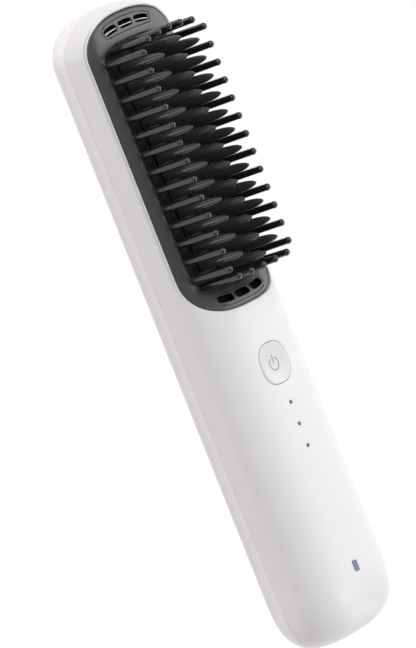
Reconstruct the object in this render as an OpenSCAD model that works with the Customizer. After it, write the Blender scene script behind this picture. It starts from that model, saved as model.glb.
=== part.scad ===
// Cordless heated comb brush: a pill-shaped two-part shell that lies on its back,
// with a long oval comb panel in the head end. Millimetres, +X towards the head,
// +Z the way the comb points, origin under the middle of the body.

/* [Body] */
// Overall length from the handle end to the head end
body_length = 218; // [214:1:240]
// Width across the parting line
body_width = 47.6; // [46.6:0.1:52]
// Height of the front crown above the parting line
front_height = 15.7; // [15.4:0.1:17.5]
// Depth of the back below the parting line, before its rest land is cut
rear_depth = 13.7; // [13.5:0.1:15.5]
// Depth of the flat rest land cut into the back
rest_cut = 0.3; // [0.2:0.05:0.45]
// Wall thickness of both shells
wall = 2; // [1.6:0.1:2.2]
// Fullness of the front section, 2 is an ellipse
front_fullness = 2.45; // [2.3:0.05:2.7]
// Fullness of the back section, 2 is an ellipse
rear_fullness = 2.25; // [2.2:0.05:2.6]
// Length of the rounded head end in plan
head_cap = 13.5; // [12:0.5:18]
// Length of the rounded head end seen from the side
head_nose = 10.4; // [9:0.2:14]
// Length of the rounded handle end in plan
tail_cap = 19.5; // [16:0.5:22]
// Length of the rounded handle end seen from the side
tail_nose = 20.5; // [17:0.5:21]

/* [Comb panel] */
// Width of the shell opening that the panel fills
opening_width = 42.8; // [42.2:0.1:43.2]
// Length of the shell opening
opening_length = 101.9; // [101:0.1:104]
// Distance from the head end to the opening
opening_margin = 3.2; // [2.8:0.1:4]
// Gap between the panel and the shell
panel_gap = 0.2; // [0.1:0.05:0.3]
// How far the panel's edge lies below the shell beside it
lip_depth = 1; // [0.8:0.1:1.3]
// Width of the chamfer round the opening
lip_chamfer = 0.6; // [0.4:0.1:0.8]
// Height of the panel's flat floor above the parting line
floor_height = 9.9; // [9.6:0.1:10.2]
// Thickness of the panel
panel_wall = 1.8; // [1.4:0.1:2]
// How deep the vent inserts lie under the panel's face
insert_sink = 0.2; // [0.1:0.05:0.3]
// Fall of the head rim, from the crown line at the first tine row to the head end
deck_fall = 6; // [5:0.5:6.5]

/* [Tines] */
// Number of tine rows along the comb
rows = 13; // [9:1:13]
// Distance of the first row from the head end
first_row = 17.8; // [17.6:0.1:18.2]
// Distance of the last row from the handle end of the opening
last_row = 13.5; // [13:0.1:15]
// Half the distance between the two guard pin columns
pin_column = 15.7; // [15.5:0.05:15.8]
// Diameter of a guard pin at the panel
pin_root = 2.4; // [2.2:0.1:2.5]
// Diameter of a guard pin under its ball
pin_neck = 2; // [1.8:0.05:2.05]
// Diameter of the ball on a guard pin
pin_ball = 2.15; // [2.1:0.05:2.3]
// Height of the guard pins above the parting line
pin_top = 27.35; // [24:0.1:29]
// Half the distance between the two outer blade columns
blade_column = 9.2; // [9.1:0.05:9.3]
// Length of a blade's foot along the comb
blade_length = 3.3; // [2.9:0.1:3.4]
// Thickness of a blade across the comb
blade_thickness = 2.2; // [1.8:0.1:2.3]
// Height of the outer blades above the parting line
side_blade_top = 28.4; // [25:0.1:29]
// Height of the middle blades above the parting line
middle_blade_top = 29.5; // [26:0.1:31]

/* [Button] */
// Size of the power button, equal both ways
button_size = 13.6; // [12.5:0.1:14.2]
// Fullness of the button outline, 2 is a circle
button_fullness = 2.8; // [2.4:0.1:4]
// Gap round the button
button_gap = 0.35; // [0.3:0.05:0.45]
// Travel of the button when pressed
button_travel = 0.6; // [0.3:0.05:0.6]
// Depth of the finger dish in the button
button_dish = 0.45; // [0.2:0.05:0.7]
// Distance from the comb opening to the middle of the button
button_setback = 21.1; // [20:0.1:23]

/* [Indicators] */
// Distance from the button to the first indicator dot
dot_setback = 13.6; // [12.5:0.1:14.5]
// Distance between indicator dots
dot_pitch = 7.5; // [6.5:0.1:8.5]
// Diameter of an indicator dot
dot_diameter = 1.3; // [1:0.1:1.6]
// Distance from the handle end to the battery window
window_setback = 21.4; // [21:0.1:23]
// Length of the battery window
window_length = 3.6; // [3:0.1:4]
// Width of the battery window
window_width = 2.3; // [2:0.1:2.6]

/* [Power] */
// Diameter of a battery cell
cell_diameter = 18.4; // [17.8:0.1:18.5]
// Distance from the handle end to the cells
cell_setback = 22.8; // [22.4:0.1:25]
// Thickness of the circuit boards
board_thickness = 1; // [0.8:0.1:1]
// Width of the main board
board_width = 30; // [28:0.5:31]
// Width of the charging socket
socket_width = 8.94; // [8.6:0.02:9.4]
// Height of the charging socket
socket_height = 3.26; // [3:0.02:3.5]
// Thickness of the ceramic heaters
heater_thickness = 2.4; // [2:0.1:2.6]

/* [Hidden] */

// Heights above the flat rest land
part_z = rear_depth - rest_cut;
crown_z = part_z + front_height;
floor_z = part_z + floor_height;
pin_top_z = part_z + pin_top;

// Places along the body
head_x = body_length / 2;
tail_x = -body_length / 2;
opening_head = head_x - opening_margin;
opening_tail = opening_head - opening_length;
first_x = head_x - first_row;
last_x = opening_tail + last_row;
row_pitch = (first_x - last_x) / (rows - 1);
button_x = opening_tail - button_setback;
window_x = tail_x + window_setback;

// Length by which a cutter passes what it cuts, and overlap that joins two forms of a piece
over = 5;
join = 0.5;

// Exponents and lengths of the rounded ends
head_cap_fullness = 1.8;
head_nose_fullness = 3.5;
tail_cap_fullness = 3.2;
tail_nose_fullness = 2.3;
cap_stations = 9;
section_steps = 36;

function clamp01(t) = min(1, max(0, t));
function falling(t, m) = pow(1 - pow(clamp01(t), m), 1 / m);
function signed(v) = v < 0 ? -1 : 1;
function mix(a, b, t) = a + (b - a) * t;
function flatten(lists) = [for (l = lists) for (p = l) p];

// How far x lies into an end cap of the body, 0 where it starts and 1 at the end
function head_t(x, cap, inset) = (x - head_x + cap) / (cap - inset);
function tail_t(x, cap, inset) = (-x + tail_x + cap) / (cap - inset);

// Half width of the body at x, for a surface that lies inset inside it
function half_width(x, inset = 0) = (body_width / 2 - inset) * (x > 0
    ? falling(head_t(x, head_cap, inset), head_cap_fullness)
    : falling(tail_t(x, tail_cap, inset), tail_cap_fullness));

// Share of the full height that the body has at x
function nose(x, inset = 0) = x > 0
    ? falling(head_t(x, head_nose, inset), head_nose_fullness)
    : falling(tail_t(x, tail_nose, inset), tail_nose_fullness);

// Heights of the front surface over a point, without and with the head's deck cut
function front_surface(x, y, inset = 0) = part_z
    + (front_height - inset) * nose(x, inset)
    * falling(abs(y) / max(0.01, half_width(x, inset)), front_fullness);
function deck_z(x) = crown_z - deck_fall * (x - last_x) / (opening_head - last_x);
function shell_top(x, y) = min(front_surface(x, y), deck_z(x));

// Stations along the body, close together in the rounded ends
function stations(inset) = let (
    tail_len = max(tail_cap, tail_nose),
    head_len = max(head_cap, head_nose)
) concat(
    [for (k = [cap_stations - 1 : -1 : 0])
        tail_x + tail_len - (tail_len - inset) * pow(sin(90 * k / cap_stations), 0.8)],
    [last_x],
    [for (k = [0 : cap_stations - 1])
        head_x - head_len + (head_len - inset) * pow(sin(90 * k / cap_stations), 0.8)]
);

// One open arch of points across the body, front (side 1) or back (side -1)
function arch(x, inset, side) = let (
    deck = side > 0 ? deck_z(max(x, last_x)) - inset : crown_z,
    w = half_width(x, inset),
    h = ((side > 0 ? front_height : rear_depth) - inset) * nose(x, inset),
    m = side > 0 ? front_fullness : rear_fullness
) [for (j = [0 : section_steps]) let (a = 180 * j / section_steps)
    [x, w * signed(cos(a)) * pow(abs(cos(a)), 2 / m),
        min(deck, max(inset, part_z + side * h * pow(abs(sin(a)), 2 / m)))]];

// Faces between two rings of n points that start at indexes a and b, open or closed
function ring_faces(a, b, n, closed) = [for (j = [0 : n - (closed ? 1 : 2)])
    let (k = (j + 1) % n) [a + j, b + j, b + k, a + k]];
function flipped(faces, turn) = turn ? [for (f = faces) [for (i = [len(f) - 1 : -1 : 0]) f[i]]]
    : faces;

// One half of the body's wall: an outer skin, an inner skin and the flat rim between them
module half_shell(side) {
    n = section_steps + 1;
    r = 2 * cap_stations + 1;
    outer = [for (x = stations(0)) arch(x, 0, side)];
    inner = [for (x = stations(wall)) arch(x, wall, side)];
    poles = [[tail_x, 0, part_z], [head_x, 0, part_z],
        [tail_x + wall, 0, part_z], [head_x - wall, 0, part_z]];
    in0 = r * n;
    p0 = 2 * r * n;
    last = (r - 1) * n;
    skin = concat(
        flatten([for (i = [0 : r - 2]) ring_faces(i * n, (i + 1) * n, n, false)]),
        [for (j = [0 : n - 2]) [p0, j, j + 1]],
        [for (j = [0 : n - 2]) [p0 + 1, last + j + 1, last + j]]
    );
    lining = concat(
        flatten([for (i = [0 : r - 2])
            ring_faces(in0 + (i + 1) * n, in0 + i * n, n, false)]),
        [for (j = [0 : n - 2]) [p0 + 2, in0 + j + 1, in0 + j]],
        [for (j = [0 : n - 2]) [p0 + 3, in0 + last + j, in0 + last + j + 1]]
    );
    rim = concat(
        [for (i = [0 : r - 2]) [i * n, in0 + i * n, in0 + (i + 1) * n, (i + 1) * n]],
        [for (i = [0 : r - 2]) [i * n + n - 1, (i + 1) * n + n - 1,
            in0 + (i + 1) * n + n - 1, in0 + i * n + n - 1]],
        [[p0, p0 + 2, in0, 0], [p0, n - 1, in0 + n - 1, p0 + 2],
            [p0 + 1, last, in0 + last, p0 + 3],
            [p0 + 1, p0 + 3, in0 + last + n - 1, last + n - 1]]
    );
    polyhedron(points = flatten([flatten(outer), flatten(inner), poles]),
        faces = flipped(concat(skin, lining, rim), side < 0), convexity = 6);
}

// Shares of the half width at which the outlines have their points
outline_steps = 15;
outline_shares = [for (k = [-outline_steps : outline_steps]) let (a = 90 * k / outline_steps)
    signed(a) * pow(abs(sin(a)), 0.8)];
share_count = len(outline_shares);

// Outline of a long oval with its own rounding at each end, as points round it
function oval(tail, head, half, tail_len, head_len, tail_m, head_m) = concat(
    [for (f = outline_shares)
        [head - head_len + head_len * falling(abs(f), head_m), half * f]],
    [for (k = [share_count - 1 : -1 : 0]) let (f = outline_shares[k])
        [tail + tail_len - tail_len * falling(abs(f), tail_m), half * f]]
);

// Shape of the opening's rounded ends
opening_tail_len = 17;
opening_head_len = 12;
opening_tail_m = 3;
opening_head_m = 2.3;
// Room from the end tines to the edge of the flat floor
floor_tail_room = 5.2;
floor_head_room = 6.1;
floor_side_room = 1.9;
floor_tail = last_x - floor_tail_room;
floor_head = first_x + floor_head_room;
floor_half = pin_column + floor_side_room;
floor_len = 10;
floor_m = 3.4;
// Window in the floor that the blades' plate fills
window_tail_room = 0.35;
window_head_room = 0.8;
window_side_room = 2;
window_tail = last_x - blade_length / 2 - window_tail_room;
window_head = first_x + blade_length / 2 + window_head_room;
window_half = blade_column + blade_thickness / 2 + window_side_room;
window_len = 5;

function opening_outline(grow = 0) = oval(opening_tail - grow, opening_head + grow,
    opening_width / 2 + grow, opening_tail_len + grow, opening_head_len + grow,
    opening_tail_m, opening_head_m);
function floor_outline(grow = 0) = oval(floor_tail - grow, floor_head + grow,
    floor_half + grow, floor_len + grow, floor_len + grow, floor_m, floor_m);
function window_outline(grow = 0) = oval(window_tail - grow, window_head + grow,
    window_half + grow, window_len + grow, window_len + grow, 2.6, 2.6);

// Height of the panel between its rim and its floor, where s runs from 0 to 1
function cove(s, rise) = rise > 0 ? 1 - pow(1 - s, 1.8) : pow(s, 2.2);
function panel_z(rim_z, s) = mix(rim_z, floor_z, cove(s, floor_z - rim_z));
function rim_z(p) = shell_top(p[0], p[1]) - lip_depth;

// One closed ring of panel points, a share s of the way from the rim to the floor
function panel_ring(s, drop) = let (
    rim = opening_outline(-panel_gap),
    flat = floor_outline()
) [for (j = [0 : len(rim) - 1]) [mix(rim[j][0], flat[j][0], s), mix(rim[j][1], flat[j][1], s),
    panel_z(rim_z(rim[j]), s) - drop]];
function lift(points, z) = [for (p = points) [p[0], p[1], z]];

// A point of the panel's end band: end -1 or 1, f across, s from the rim to the floor
function band_point(end, f, s, dz) = let (
    rim_len = end > 0 ? opening_head_len : opening_tail_len,
    rim_m = end > 0 ? opening_head_m : opening_tail_m,
    rim_end = end > 0 ? opening_head : opening_tail,
    flat_end = end > 0 ? floor_head : floor_tail,
    rim = [rim_end - end * (panel_gap + (rim_len - panel_gap) * (1 - falling(abs(f), rim_m))),
        f * (opening_width / 2 - panel_gap)],
    flat = [flat_end - end * floor_len * (1 - falling(abs(f), floor_m)), f * floor_half]
) [mix(rim[0], flat[0], s), mix(rim[1], flat[1], s), panel_z(rim_z(rim), s) + dz];

// A solid that follows the end band: a rounded patch round (f, s) from height low to high
module band_plug(end, f, half_f, s, half_s, low, high) {
    n = 28;
    m = 5;
    ring = function (share, dz) [for (j = [0 : n - 1]) let (a = 360 * j / n)
        band_point(end,
            f + share * half_f * signed(cos(a)) * pow(abs(cos(a)), 2 / m),
            s + share * half_s * signed(sin(a)) * pow(abs(sin(a)), 2 / m), dz)];
    middle = function (dz) [band_point(end, f, s, dz)];
    points = flatten([middle(low), ring(0.5, low), ring(1, low), ring(1, high),
        ring(0.5, high), middle(high)]);
    top = 1 + 4 * n;
    faces = concat(
        [for (j = [0 : n - 1]) [0, 1 + j, 1 + (j + 1) % n]],
        ring_faces(1, 1 + n, n, true),
        ring_faces(1 + n, 1 + 2 * n, n, true),
        ring_faces(1 + 2 * n, 1 + 3 * n, n, true),
        [for (j = [0 : n - 1]) [top, 1 + 3 * n + (j + 1) % n, 1 + 3 * n + j]]
    );
    polyhedron(points = points, faces = flipped(faces, end < 0), convexity = 4);
}

// Where the vents lie in the end bands
vent_shares = [-0.4, 0, 0.4];
vent_half_f = 0.166;
vent_half_s = 0.15;
insert_half_f = 0.6;
insert_half_s = 0.29;
insert_depth = 1;
insert_fit = 0.02;
function vent_s(end) = end > 0 ? 0.5 : 0.47;

// Closed polyhedron through a stack of closed rings with flat ends
module ring_stack(rings) {
    n = len(rings[0]);
    r = len(rings);
    polyhedron(points = flatten(rings), faces = concat(
        [[for (j = [0 : n - 1]) j]],
        flatten([for (i = [0 : r - 2]) ring_faces(i * n, (i + 1) * n, n, true)]),
        [[for (j = [n - 1 : -1 : 0]) (r - 1) * n + j]]
    ), convexity = 4);
}

// The hole that the panel fills, with a chamfered lip
module opening_cutter() {
    inner = opening_outline();
    outer = opening_outline(2 * lip_chamfer);
    ring_stack([
        lift(inner, part_z + lip_depth),
        [for (p = inner) [p[0], p[1], shell_top(p[0], p[1]) - lip_chamfer]],
        [for (j = [0 : len(outer) - 1]) [outer[j][0], outer[j][1],
            shell_top(inner[j][0], inner[j][1]) + lip_chamfer]],
        lift(outer, crown_z + over)
    ]);
}

// Rounded square outline of the power button
function squircle(size) = [for (j = [0 : 47]) let (a = 360 * j / 48)
    [size / 2 * signed(cos(a)) * pow(abs(cos(a)), 2 / button_fullness),
        size / 2 * signed(sin(a)) * pow(abs(sin(a)), 2 / button_fullness)]];

module drill(x, y, low, high, r) {
    translate([x, y, low]) cylinder(h = high - low, r = r, $fn = 32);
}

// Outline of the battery window, with its narrow end towards the head
function window_shape(grow) = let (
    l = window_length / 2 + grow,
    w = window_width / 2 + grow,
    nub = window_width / 4 + grow,
    neck = l - window_length / 7
) [[-l, -w], [neck, -w], [neck, -nub], [l, -nub], [l, nub], [neck, nub], [neck, w], [-l, w]];

module along_x(x, y, z, length, r) {
    translate([x, y, z]) rotate([0, 90, 0]) cylinder(h = length, r = r, $fn = 40);
}

module block(x, y, z) {
    translate([x[0], y[0], z[0]]) cube([x[1] - x[0], y[1] - y[0], z[1] - z[0]]);
}

// Battery cells and the board over them, from the floor up
cell_r = cell_diameter / 2;
cell_spacer = 0.8;
cell_lift = 0.9;
cell_y = (cell_diameter + cell_spacer) / 2;
cell_z = wall + cell_lift + cell_r;
cell_front_room = 4;
cell_front = button_x - cell_front_room;
cell_back = tail_x + cell_setback;
cell_length = cell_front - cell_back;
cell_nub = 0.8;
cell_nub_r = 3;
board_gap = 0.2;
board_z = cell_z + cell_r + board_gap;
board_top = board_z + board_thickness;
board_front_room = 9.2;
board_back_room = 6.9;
board_front = button_x + board_front_room;
board_back = window_x - board_back_room;
tab_thickness = 0.25;
tab_gap = 0.03;
tab_half = 2;
tab_height = 3;

// End plates that hold the cells
bracket_plate = 2;
bracket_gap = 0.35;
bracket_fit = 0.1;
bracket_side_room = 6.8;
bracket_half = body_width / 2 - bracket_side_room;
bracket_shoulder = 5;
bracket_floor_room = 2.3;
bracket_low = wall + bracket_floor_room;
bracket_rise = 3.9;
bracket_top_room = 1.5;
bracket_top = board_z - bracket_top_room;
spacer_length = 9;
spacer_half = 6.5;
spacer_gap = 0.3;

// Screws that hold the board to the front shell
boss_y = board_width * 0.4;
boss_r = 2.2;
screw_hole_r = 0.8;
screw_r = 0.75;
screw_room_r = 1.1;
screw_head_r = 1.7;
screw_head = 1.1;
screw_grip = 2.5;
screw_tip_room = 0.3;
screw_front_room = 5.4;
screw_back_room = 3.4;
board_screw_x = [button_x + screw_front_room, window_x - screw_back_room];
board_screws_at = [for (x = board_screw_x) for (y = [-boss_y, boss_y]) [x, y]];

// Small parts on the board
chip_height = 1.2;
lamp_length = 1.6;
lamp_width = 1;
lamp_height = 0.7;

// Light guide behind the indicator dots
guide_gap = 0.15;
guide_bar = 1.2;
guide_half = 1.5;
guide_leg_r = 0.9;
dot_fit = 0.05;
window_fit = 0.06;
window_seat = 0.8;
window_flange = 1;

// Charging socket and its board
socket_z = part_z;
socket_length = 7.3;
socket_wall = 0.35;
socket_back = 1.2;
tongue_half = 3.3;
port_clearance = 0.25;
socket_sink = 0.8;
socket_mouth = tail_x + socket_sink;
charge_board_top = socket_z - socket_height / 2;
charge_board_tail = 2.8;
charge_board_lap = 3;
charge_board_x = [socket_mouth + charge_board_tail, board_back + charge_board_lap];
charge_board_half = 9;
post_x = mix(charge_board_x[0], charge_board_x[1], 0.7);
post_y = 6.5;
post_r = 1.8;
lead_x = board_back + charge_board_lap / 2;
battery_lead_y = 3;
battery_lead_r = 0.7;
terminal_length = 5.2;
terminal_half = 5;
terminal_height = 3.4;
terminal_setback = 0.8;

// Switch under the button
switch_size = 6;
switch_height = 1.7;
plunger_r = 1.6;
plunger_fit = 0.08;
plunger_floor = 0.1;
plunger_rise = button_travel + 0.3;
plunger_top = board_top + switch_height + plunger_rise;
flange_width = 1;
flange_thickness = 0.8;
flange_gap = 0.35;
flange_top = front_surface(button_x, button_size / 2 + flange_width, wall) - flange_gap;
stem_gap = 0.05;
stem_r = 2.2;
button_rise = 0.1;
button_crown_r = 74;

// Comb parts, from the panel down
skirt = 2.2;
plate_sink = 0.7;
plate_foot = 1.2;
plate_fit = 0.15;
plate_top = floor_z - plate_sink;
plate_bottom = floor_z - panel_wall - plate_foot;
rail_height = 0.6;
rail_side = 0.3;
rail_top = plate_top + rail_height;
sheet_thickness = 0.3;
clamp_thickness = 1.3;
carrier_base = 1.2;
carrier_floor = plate_bottom - heater_thickness - sheet_thickness - clamp_thickness;
carrier_bottom = carrier_floor - carrier_base;
carrier_fit = 0.3;
cavity_wall = 2;
cavity_half = window_half - panel_wall;
shield_thickness = 0.4;
shield_margin = 2;

// Heater stack in the carrier
heater_shares = [0.2, 0.5, 0.8];
heater_x = [for (s = heater_shares) mix(window_tail, window_head, s)];
heater_half = (window_head - window_tail) * 0.128;
heater_side = 5;
sheet_margin = 4;
sheet_side = 8;
clamp_margin = 3;
clamp_side = 7;
fuse_r = 1.1;
fuse_half = 5;
fuse_y = 6.5;

// Screw ears between the carrier and the panel
ear_rise = 2.2;
ear_top = carrier_floor + ear_rise;
ear_thickness = 1.5;
ear_r = 2.4;
ear_reach = 6;
ear_boss_r = 1.9;
ear_y = 14.3;
ear_tail_room = 5.4;
ear_head_room = 5.2;
ears = [for (x = [opening_tail + ear_tail_room, opening_head - ear_head_room])
    for (y = [-ear_y, ear_y]) [x, y]];
lead_y = 2.6;
lead_drop = 1.1;
lead_z = plate_bottom - lead_drop;
lead_r = 0.8;

// Guard pins: a column on each side and an arc across each end
head_arc_rise = 4.45;
head_arc_bow = 1.02;
head_arc_step = 5.75;
tail_arc_rise = 3.56;
tail_arc_bow = 0.38;
tail_arc_step = 6.4;
arc_pins = 5;
pin_strip_half = 1.3;
pin_foot = 0.4;
pin_fit = 0.08;
function arc_step(end) = end > 0 ? head_arc_step : tail_arc_step;
function arc_reach(end) = (arc_pins - 1) / 2 * arc_step(end);
function arc_x(end, y) = let (bow = pow(y / arc_reach(end), 2))
    end > 0 ? first_x + head_arc_rise - head_arc_bow * bow
    : last_x - tail_arc_rise + tail_arc_bow * bow;
function column_places(side) = [for (i = [0 : rows - 1]) [first_x - i * row_pitch, side * pin_column]];
function arc_places(end) = [for (k = [0 : arc_pins - 1])
    let (y = k * arc_step(end) - arc_reach(end)) [arc_x(end, y), y]];
pins = concat(column_places(1), column_places(-1), arc_places(1), arc_places(-1));

shell_white = [0.93, 0.93, 0.925];
panel_grey = [0.23, 0.23, 0.235];
comb_black = [0.055, 0.055, 0.06];

module front_shell() {
    color(shell_white) difference() {
        union() {
            half_shell(1);
            for (p = board_screws_at)
                drill(p[0], p[1], board_top, front_surface(p[0], p[1], wall) + join, boss_r);
        }
        opening_cutter();
        translate([button_x, 0, part_z]) linear_extrude(front_height + over)
            polygon(squircle(button_size + 2 * button_gap));
        for (i = [0 : 2])
            drill(button_x - dot_setback - i * dot_pitch, 0, part_z + over, crown_z + over,
                dot_diameter / 2 + dot_fit);
        translate([window_x, 0, part_z + over]) linear_extrude(front_height)
            polygon(window_shape(window_fit));
        for (p = board_screws_at)
            drill(p[0], p[1], board_top - join, board_top + screw_grip + screw_tip_room,
                screw_hole_r);
        port_cutter();
    }
}

module port_cutter() {
    socket_bar(tail_x - over, over + wall + 3, port_clearance);
}

module rear_shell() {
    color(shell_white) difference() {
        union() {
            half_shell(-1);
            for (y = [-post_y, post_y])
                drill(post_x, y, wall - join, charge_board_top - board_thickness, post_r);
        }
        port_cutter();
    }
}

module bezel() {
    steps = [0, 0.12, 0.25, 0.4, 0.55, 0.7, 0.85, 1];
    rings = concat(
        [panel_ring(0, skirt)],
        [for (s = steps) panel_ring(s, 0)],
        [lift(window_outline(), floor_z), lift(window_outline(), floor_z - panel_wall)],
        [panel_ring(1, panel_wall), panel_ring(0.55, panel_wall)]
    );
    n = len(rings[0]);
    r = len(rings);
    color(panel_grey) difference() {
        union() {
            polyhedron(points = flatten(rings), faces = flatten([for (i = [0 : r - 1])
                ring_faces(i * n, ((i + 1) % r) * n, n, true)]), convexity = 6);
            for (p = ears) drill(p[0], p[1], ear_top, ear_boss_top(p), ear_boss_r);
        }
        for (end = [-1, 1]) {
            band_plug(end, 0, insert_half_f + 0.006, vent_s(end), insert_half_s + 0.01,
                -insert_depth - insert_fit, over);
            for (f = vent_shares)
                band_plug(end, f, vent_half_f + 0.02, vent_s(end), vent_half_s + 0.03,
                    -panel_wall - skirt, over);
        }
        for (p = pins)
            drill(p[0], p[1], floor_z - panel_wall - over, floor_z + over, pin_root / 2 + pin_fit);
        for (p = ears) drill(p[0], p[1], ear_top - join, ear_top + skirt, screw_hole_r);
    }
}

// The bosses end inside the panel's wall, which is lower at the head
function ear_boss_top(p) = p[0] > first_x ? floor_z - panel_wall - 0.1
    : floor_z - panel_wall + skirt;

module vent_insert(end) {
    color(panel_grey) difference() {
        band_plug(end, 0, insert_half_f, vent_s(end), insert_half_s, -insert_depth, -insert_sink);
        for (f = vent_shares)
            band_plug(end, f, vent_half_f, vent_s(end), vent_half_s, -panel_wall - skirt, over);
    }
}
module head_vent_insert() vent_insert(1);
module handle_vent_insert() vent_insert(-1);

// Guard pins that stand on a strip under the panel and pass through its holes
module guard_pins(places) {
    ball_r = pin_ball / 2;
    for (p = places) translate([p[0], p[1], 0]) {
        translate([0, 0, plate_bottom + pin_foot])
            cylinder(h = floor_z - plate_bottom - pin_foot, r = pin_root / 2, $fn = 24);
        translate([0, 0, floor_z])
            cylinder(h = pin_top_z - ball_r - floor_z, r1 = pin_root / 2, r2 = pin_neck / 2, $fn = 24);
        translate([0, 0, pin_top_z - ball_r]) sphere(r = ball_r, $fn = 24);
    }
}

module pin_strip(side) {
    color(comb_black) {
        block([last_x - pin_strip_half, first_x + pin_strip_half],
            [side * pin_column - pin_strip_half, side * pin_column + pin_strip_half],
            [plate_bottom, floor_z - panel_wall]);
        guard_pins(column_places(side));
    }
}
module left_pin_strip() pin_strip(1);
module right_pin_strip() pin_strip(-1);

module pin_arc(end) {
    reach = arc_reach(end) + pin_strip_half;
    steps = 12;
    ys = [for (k = [0 : steps]) (2 * k / steps - 1) * reach];
    outline = concat([for (y = ys) [arc_x(end, y) + pin_strip_half, y]],
        [for (k = [steps : -1 : 0]) [arc_x(end, ys[k]) - pin_strip_half, ys[k]]]);
    color(comb_black) {
        translate([0, 0, plate_bottom]) linear_extrude(floor_z - panel_wall - plate_bottom)
            polygon(outline);
        guard_pins(arc_places(end));
    }
}
module head_pin_arc() pin_arc(1);
module handle_pin_arc() pin_arc(-1);

module heat_plate() {
    color([0.12, 0.12, 0.125]) translate([0, 0, plate_bottom])
        linear_extrude(plate_top - plate_bottom) polygon(window_outline(-plate_fit));
}

// A pointed oval blade: a turned bullet with two flat sides
module blade(height) {
    shares = [0.4, 0.6, 0.74, 0.84, 0.91, 0.96, 0.988];
    profile = concat([[0, 0], [blade_length / 2, 0]],
        [for (t = shares) [blade_length / 2 * pow(1 - pow(t, 5.5), 0.55), t * height]],
        [[0, height]]);
    intersection() {
        rotate_extrude($fn = 32) polygon(profile);
        translate([-blade_length, -blade_thickness / 2, -over])
            cube([2 * blade_length, blade_thickness, height + 2 * over]);
    }
}

module blade_strip(y, count, offset, top) {
    rail = blade_thickness / 2 + rail_side;
    foot = rail_top - rail_height / 2;
    color(comb_black) translate([first_x - offset, y, 0]) {
        block([-(count - 1) * row_pitch - blade_length / 2, blade_length / 2], [-rail, rail],
            [plate_top, rail_top]);
        for (i = [0 : count - 1]) translate([-i * row_pitch, 0, foot])
            blade(part_z + top - foot);
    }
}
module blade_strip_left() blade_strip(blade_column, rows - 1, row_pitch / 2, side_blade_top);
module blade_strip_middle() blade_strip(0, rows, 0, middle_blade_top);
module blade_strip_right() blade_strip(-blade_column, rows - 1, row_pitch / 2, side_blade_top);

module comb_carrier() {
    color([0.16, 0.16, 0.17]) difference() {
        union() {
            translate([0, 0, carrier_bottom]) linear_extrude(plate_bottom - carrier_bottom)
                polygon(floor_outline(-carrier_fit));
            for (p = ears) {
                inward = p[0] > first_x ? -ear_reach : ear_reach;
                drill(p[0], p[1], ear_top - ear_thickness, ear_top, ear_r);
                block([min(p[0], p[0] + inward), max(p[0], p[0] + inward)],
                    [p[1] - ear_r, p[1] + ear_r], [ear_top - ear_thickness, ear_top]);
            }
        }
        block([window_tail + cavity_wall, window_head - cavity_wall],
            [-cavity_half, cavity_half], [carrier_floor, plate_bottom + over]);
        for (p = ears) drill(p[0], p[1], carrier_bottom - over, plate_bottom + over, screw_room_r);
    }
}

module ceramic_heaters() {
    color([0.86, 0.84, 0.8]) for (x = heater_x)
        block([x - heater_half, x + heater_half], [-heater_side, heater_side],
            [plate_bottom - heater_thickness, plate_bottom]);
}

module insulating_sheet() {
    z = plate_bottom - heater_thickness;
    color([0.75, 0.6, 0.3])
        block([window_tail + sheet_margin, window_head - sheet_margin], [-sheet_side, sheet_side],
            [z - sheet_thickness, z]);
}

module clamp_plate() {
    color([0.7, 0.71, 0.72])
        block([window_tail + clamp_margin, window_head - clamp_margin], [-clamp_side, clamp_side],
            [carrier_floor, carrier_floor + clamp_thickness]);
}

module thermal_fuse() {
    z = plate_bottom - heater_thickness;
    color([0.8, 0.78, 0.72]) along_x(heater_x[1] - fuse_half, fuse_y, z + fuse_r, 2 * fuse_half,
        fuse_r);
}

module comb_screws() {
    color([0.6, 0.6, 0.62]) for (p = ears) {
        drill(p[0], p[1], ear_top - ear_thickness - screw_head, ear_top - ear_thickness,
            screw_head_r);
        drill(p[0], p[1], ear_top - ear_thickness, ear_top + skirt - join, screw_r);
    }
}

// A pale wall behind the head vents, with a thin fin that stands up into each of them
guide_share = 0.58;
guide_s = [0.48, 0.58];
fin_half_f = 0.157;
fin_half_s = 0.014;
fin_top = 0.8;
fin_foot = 3;
module air_guide() {
    steps = 24;
    line = function (s) [for (k = [0 : steps])
        let (p = band_point(1, guide_share * (2 * k / steps - 1), s, 0)) [p[0], p[1]]];
    near = line(guide_s[1]);
    outline = concat(line(guide_s[0]), [for (k = [steps : -1 : 0]) near[k]]);
    color([0.9, 0.9, 0.9]) {
        translate([0, 0, carrier_bottom])
            linear_extrude(plate_bottom - carrier_bottom) polygon(outline);
        for (f = vent_shares) band_plug(1, f, fin_half_f, (guide_s[0] + guide_s[1]) / 2,
            fin_half_s, -fin_foot, -fin_top);
    }
}

module power_button() {
    dish_r = pow(button_size / 2, 2) / (2 * button_dish) + button_dish / 2;
    top = crown_z + button_rise;
    color([0.9, 0.9, 0.9]) {
        difference() {
            intersection() {
                translate([button_x, 0, flange_top - join])
                    linear_extrude(top - flange_top + over) polygon(squircle(button_size));
                along_x(button_x - button_size, 0, top - button_crown_r, 2 * button_size,
                    button_crown_r);
            }
            translate([button_x, 0, top + dish_r - button_dish]) sphere(r = dish_r, $fn = 96);
        }
        translate([button_x, 0, flange_top - flange_thickness]) linear_extrude(flange_thickness)
            polygon(squircle(button_size + 2 * flange_width));
        drill(button_x, 0, plunger_top + stem_gap, flange_top - flange_thickness / 2, stem_r);
    }
}

module switch_body() {
    color([0.1, 0.1, 0.1]) difference() {
        block([button_x - switch_size / 2, button_x + switch_size / 2],
            [-switch_size / 2, switch_size / 2], [board_top, board_top + switch_height]);
        drill(button_x, 0, board_top + plunger_floor, board_top + over, plunger_r + plunger_fit);
    }
}

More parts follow.
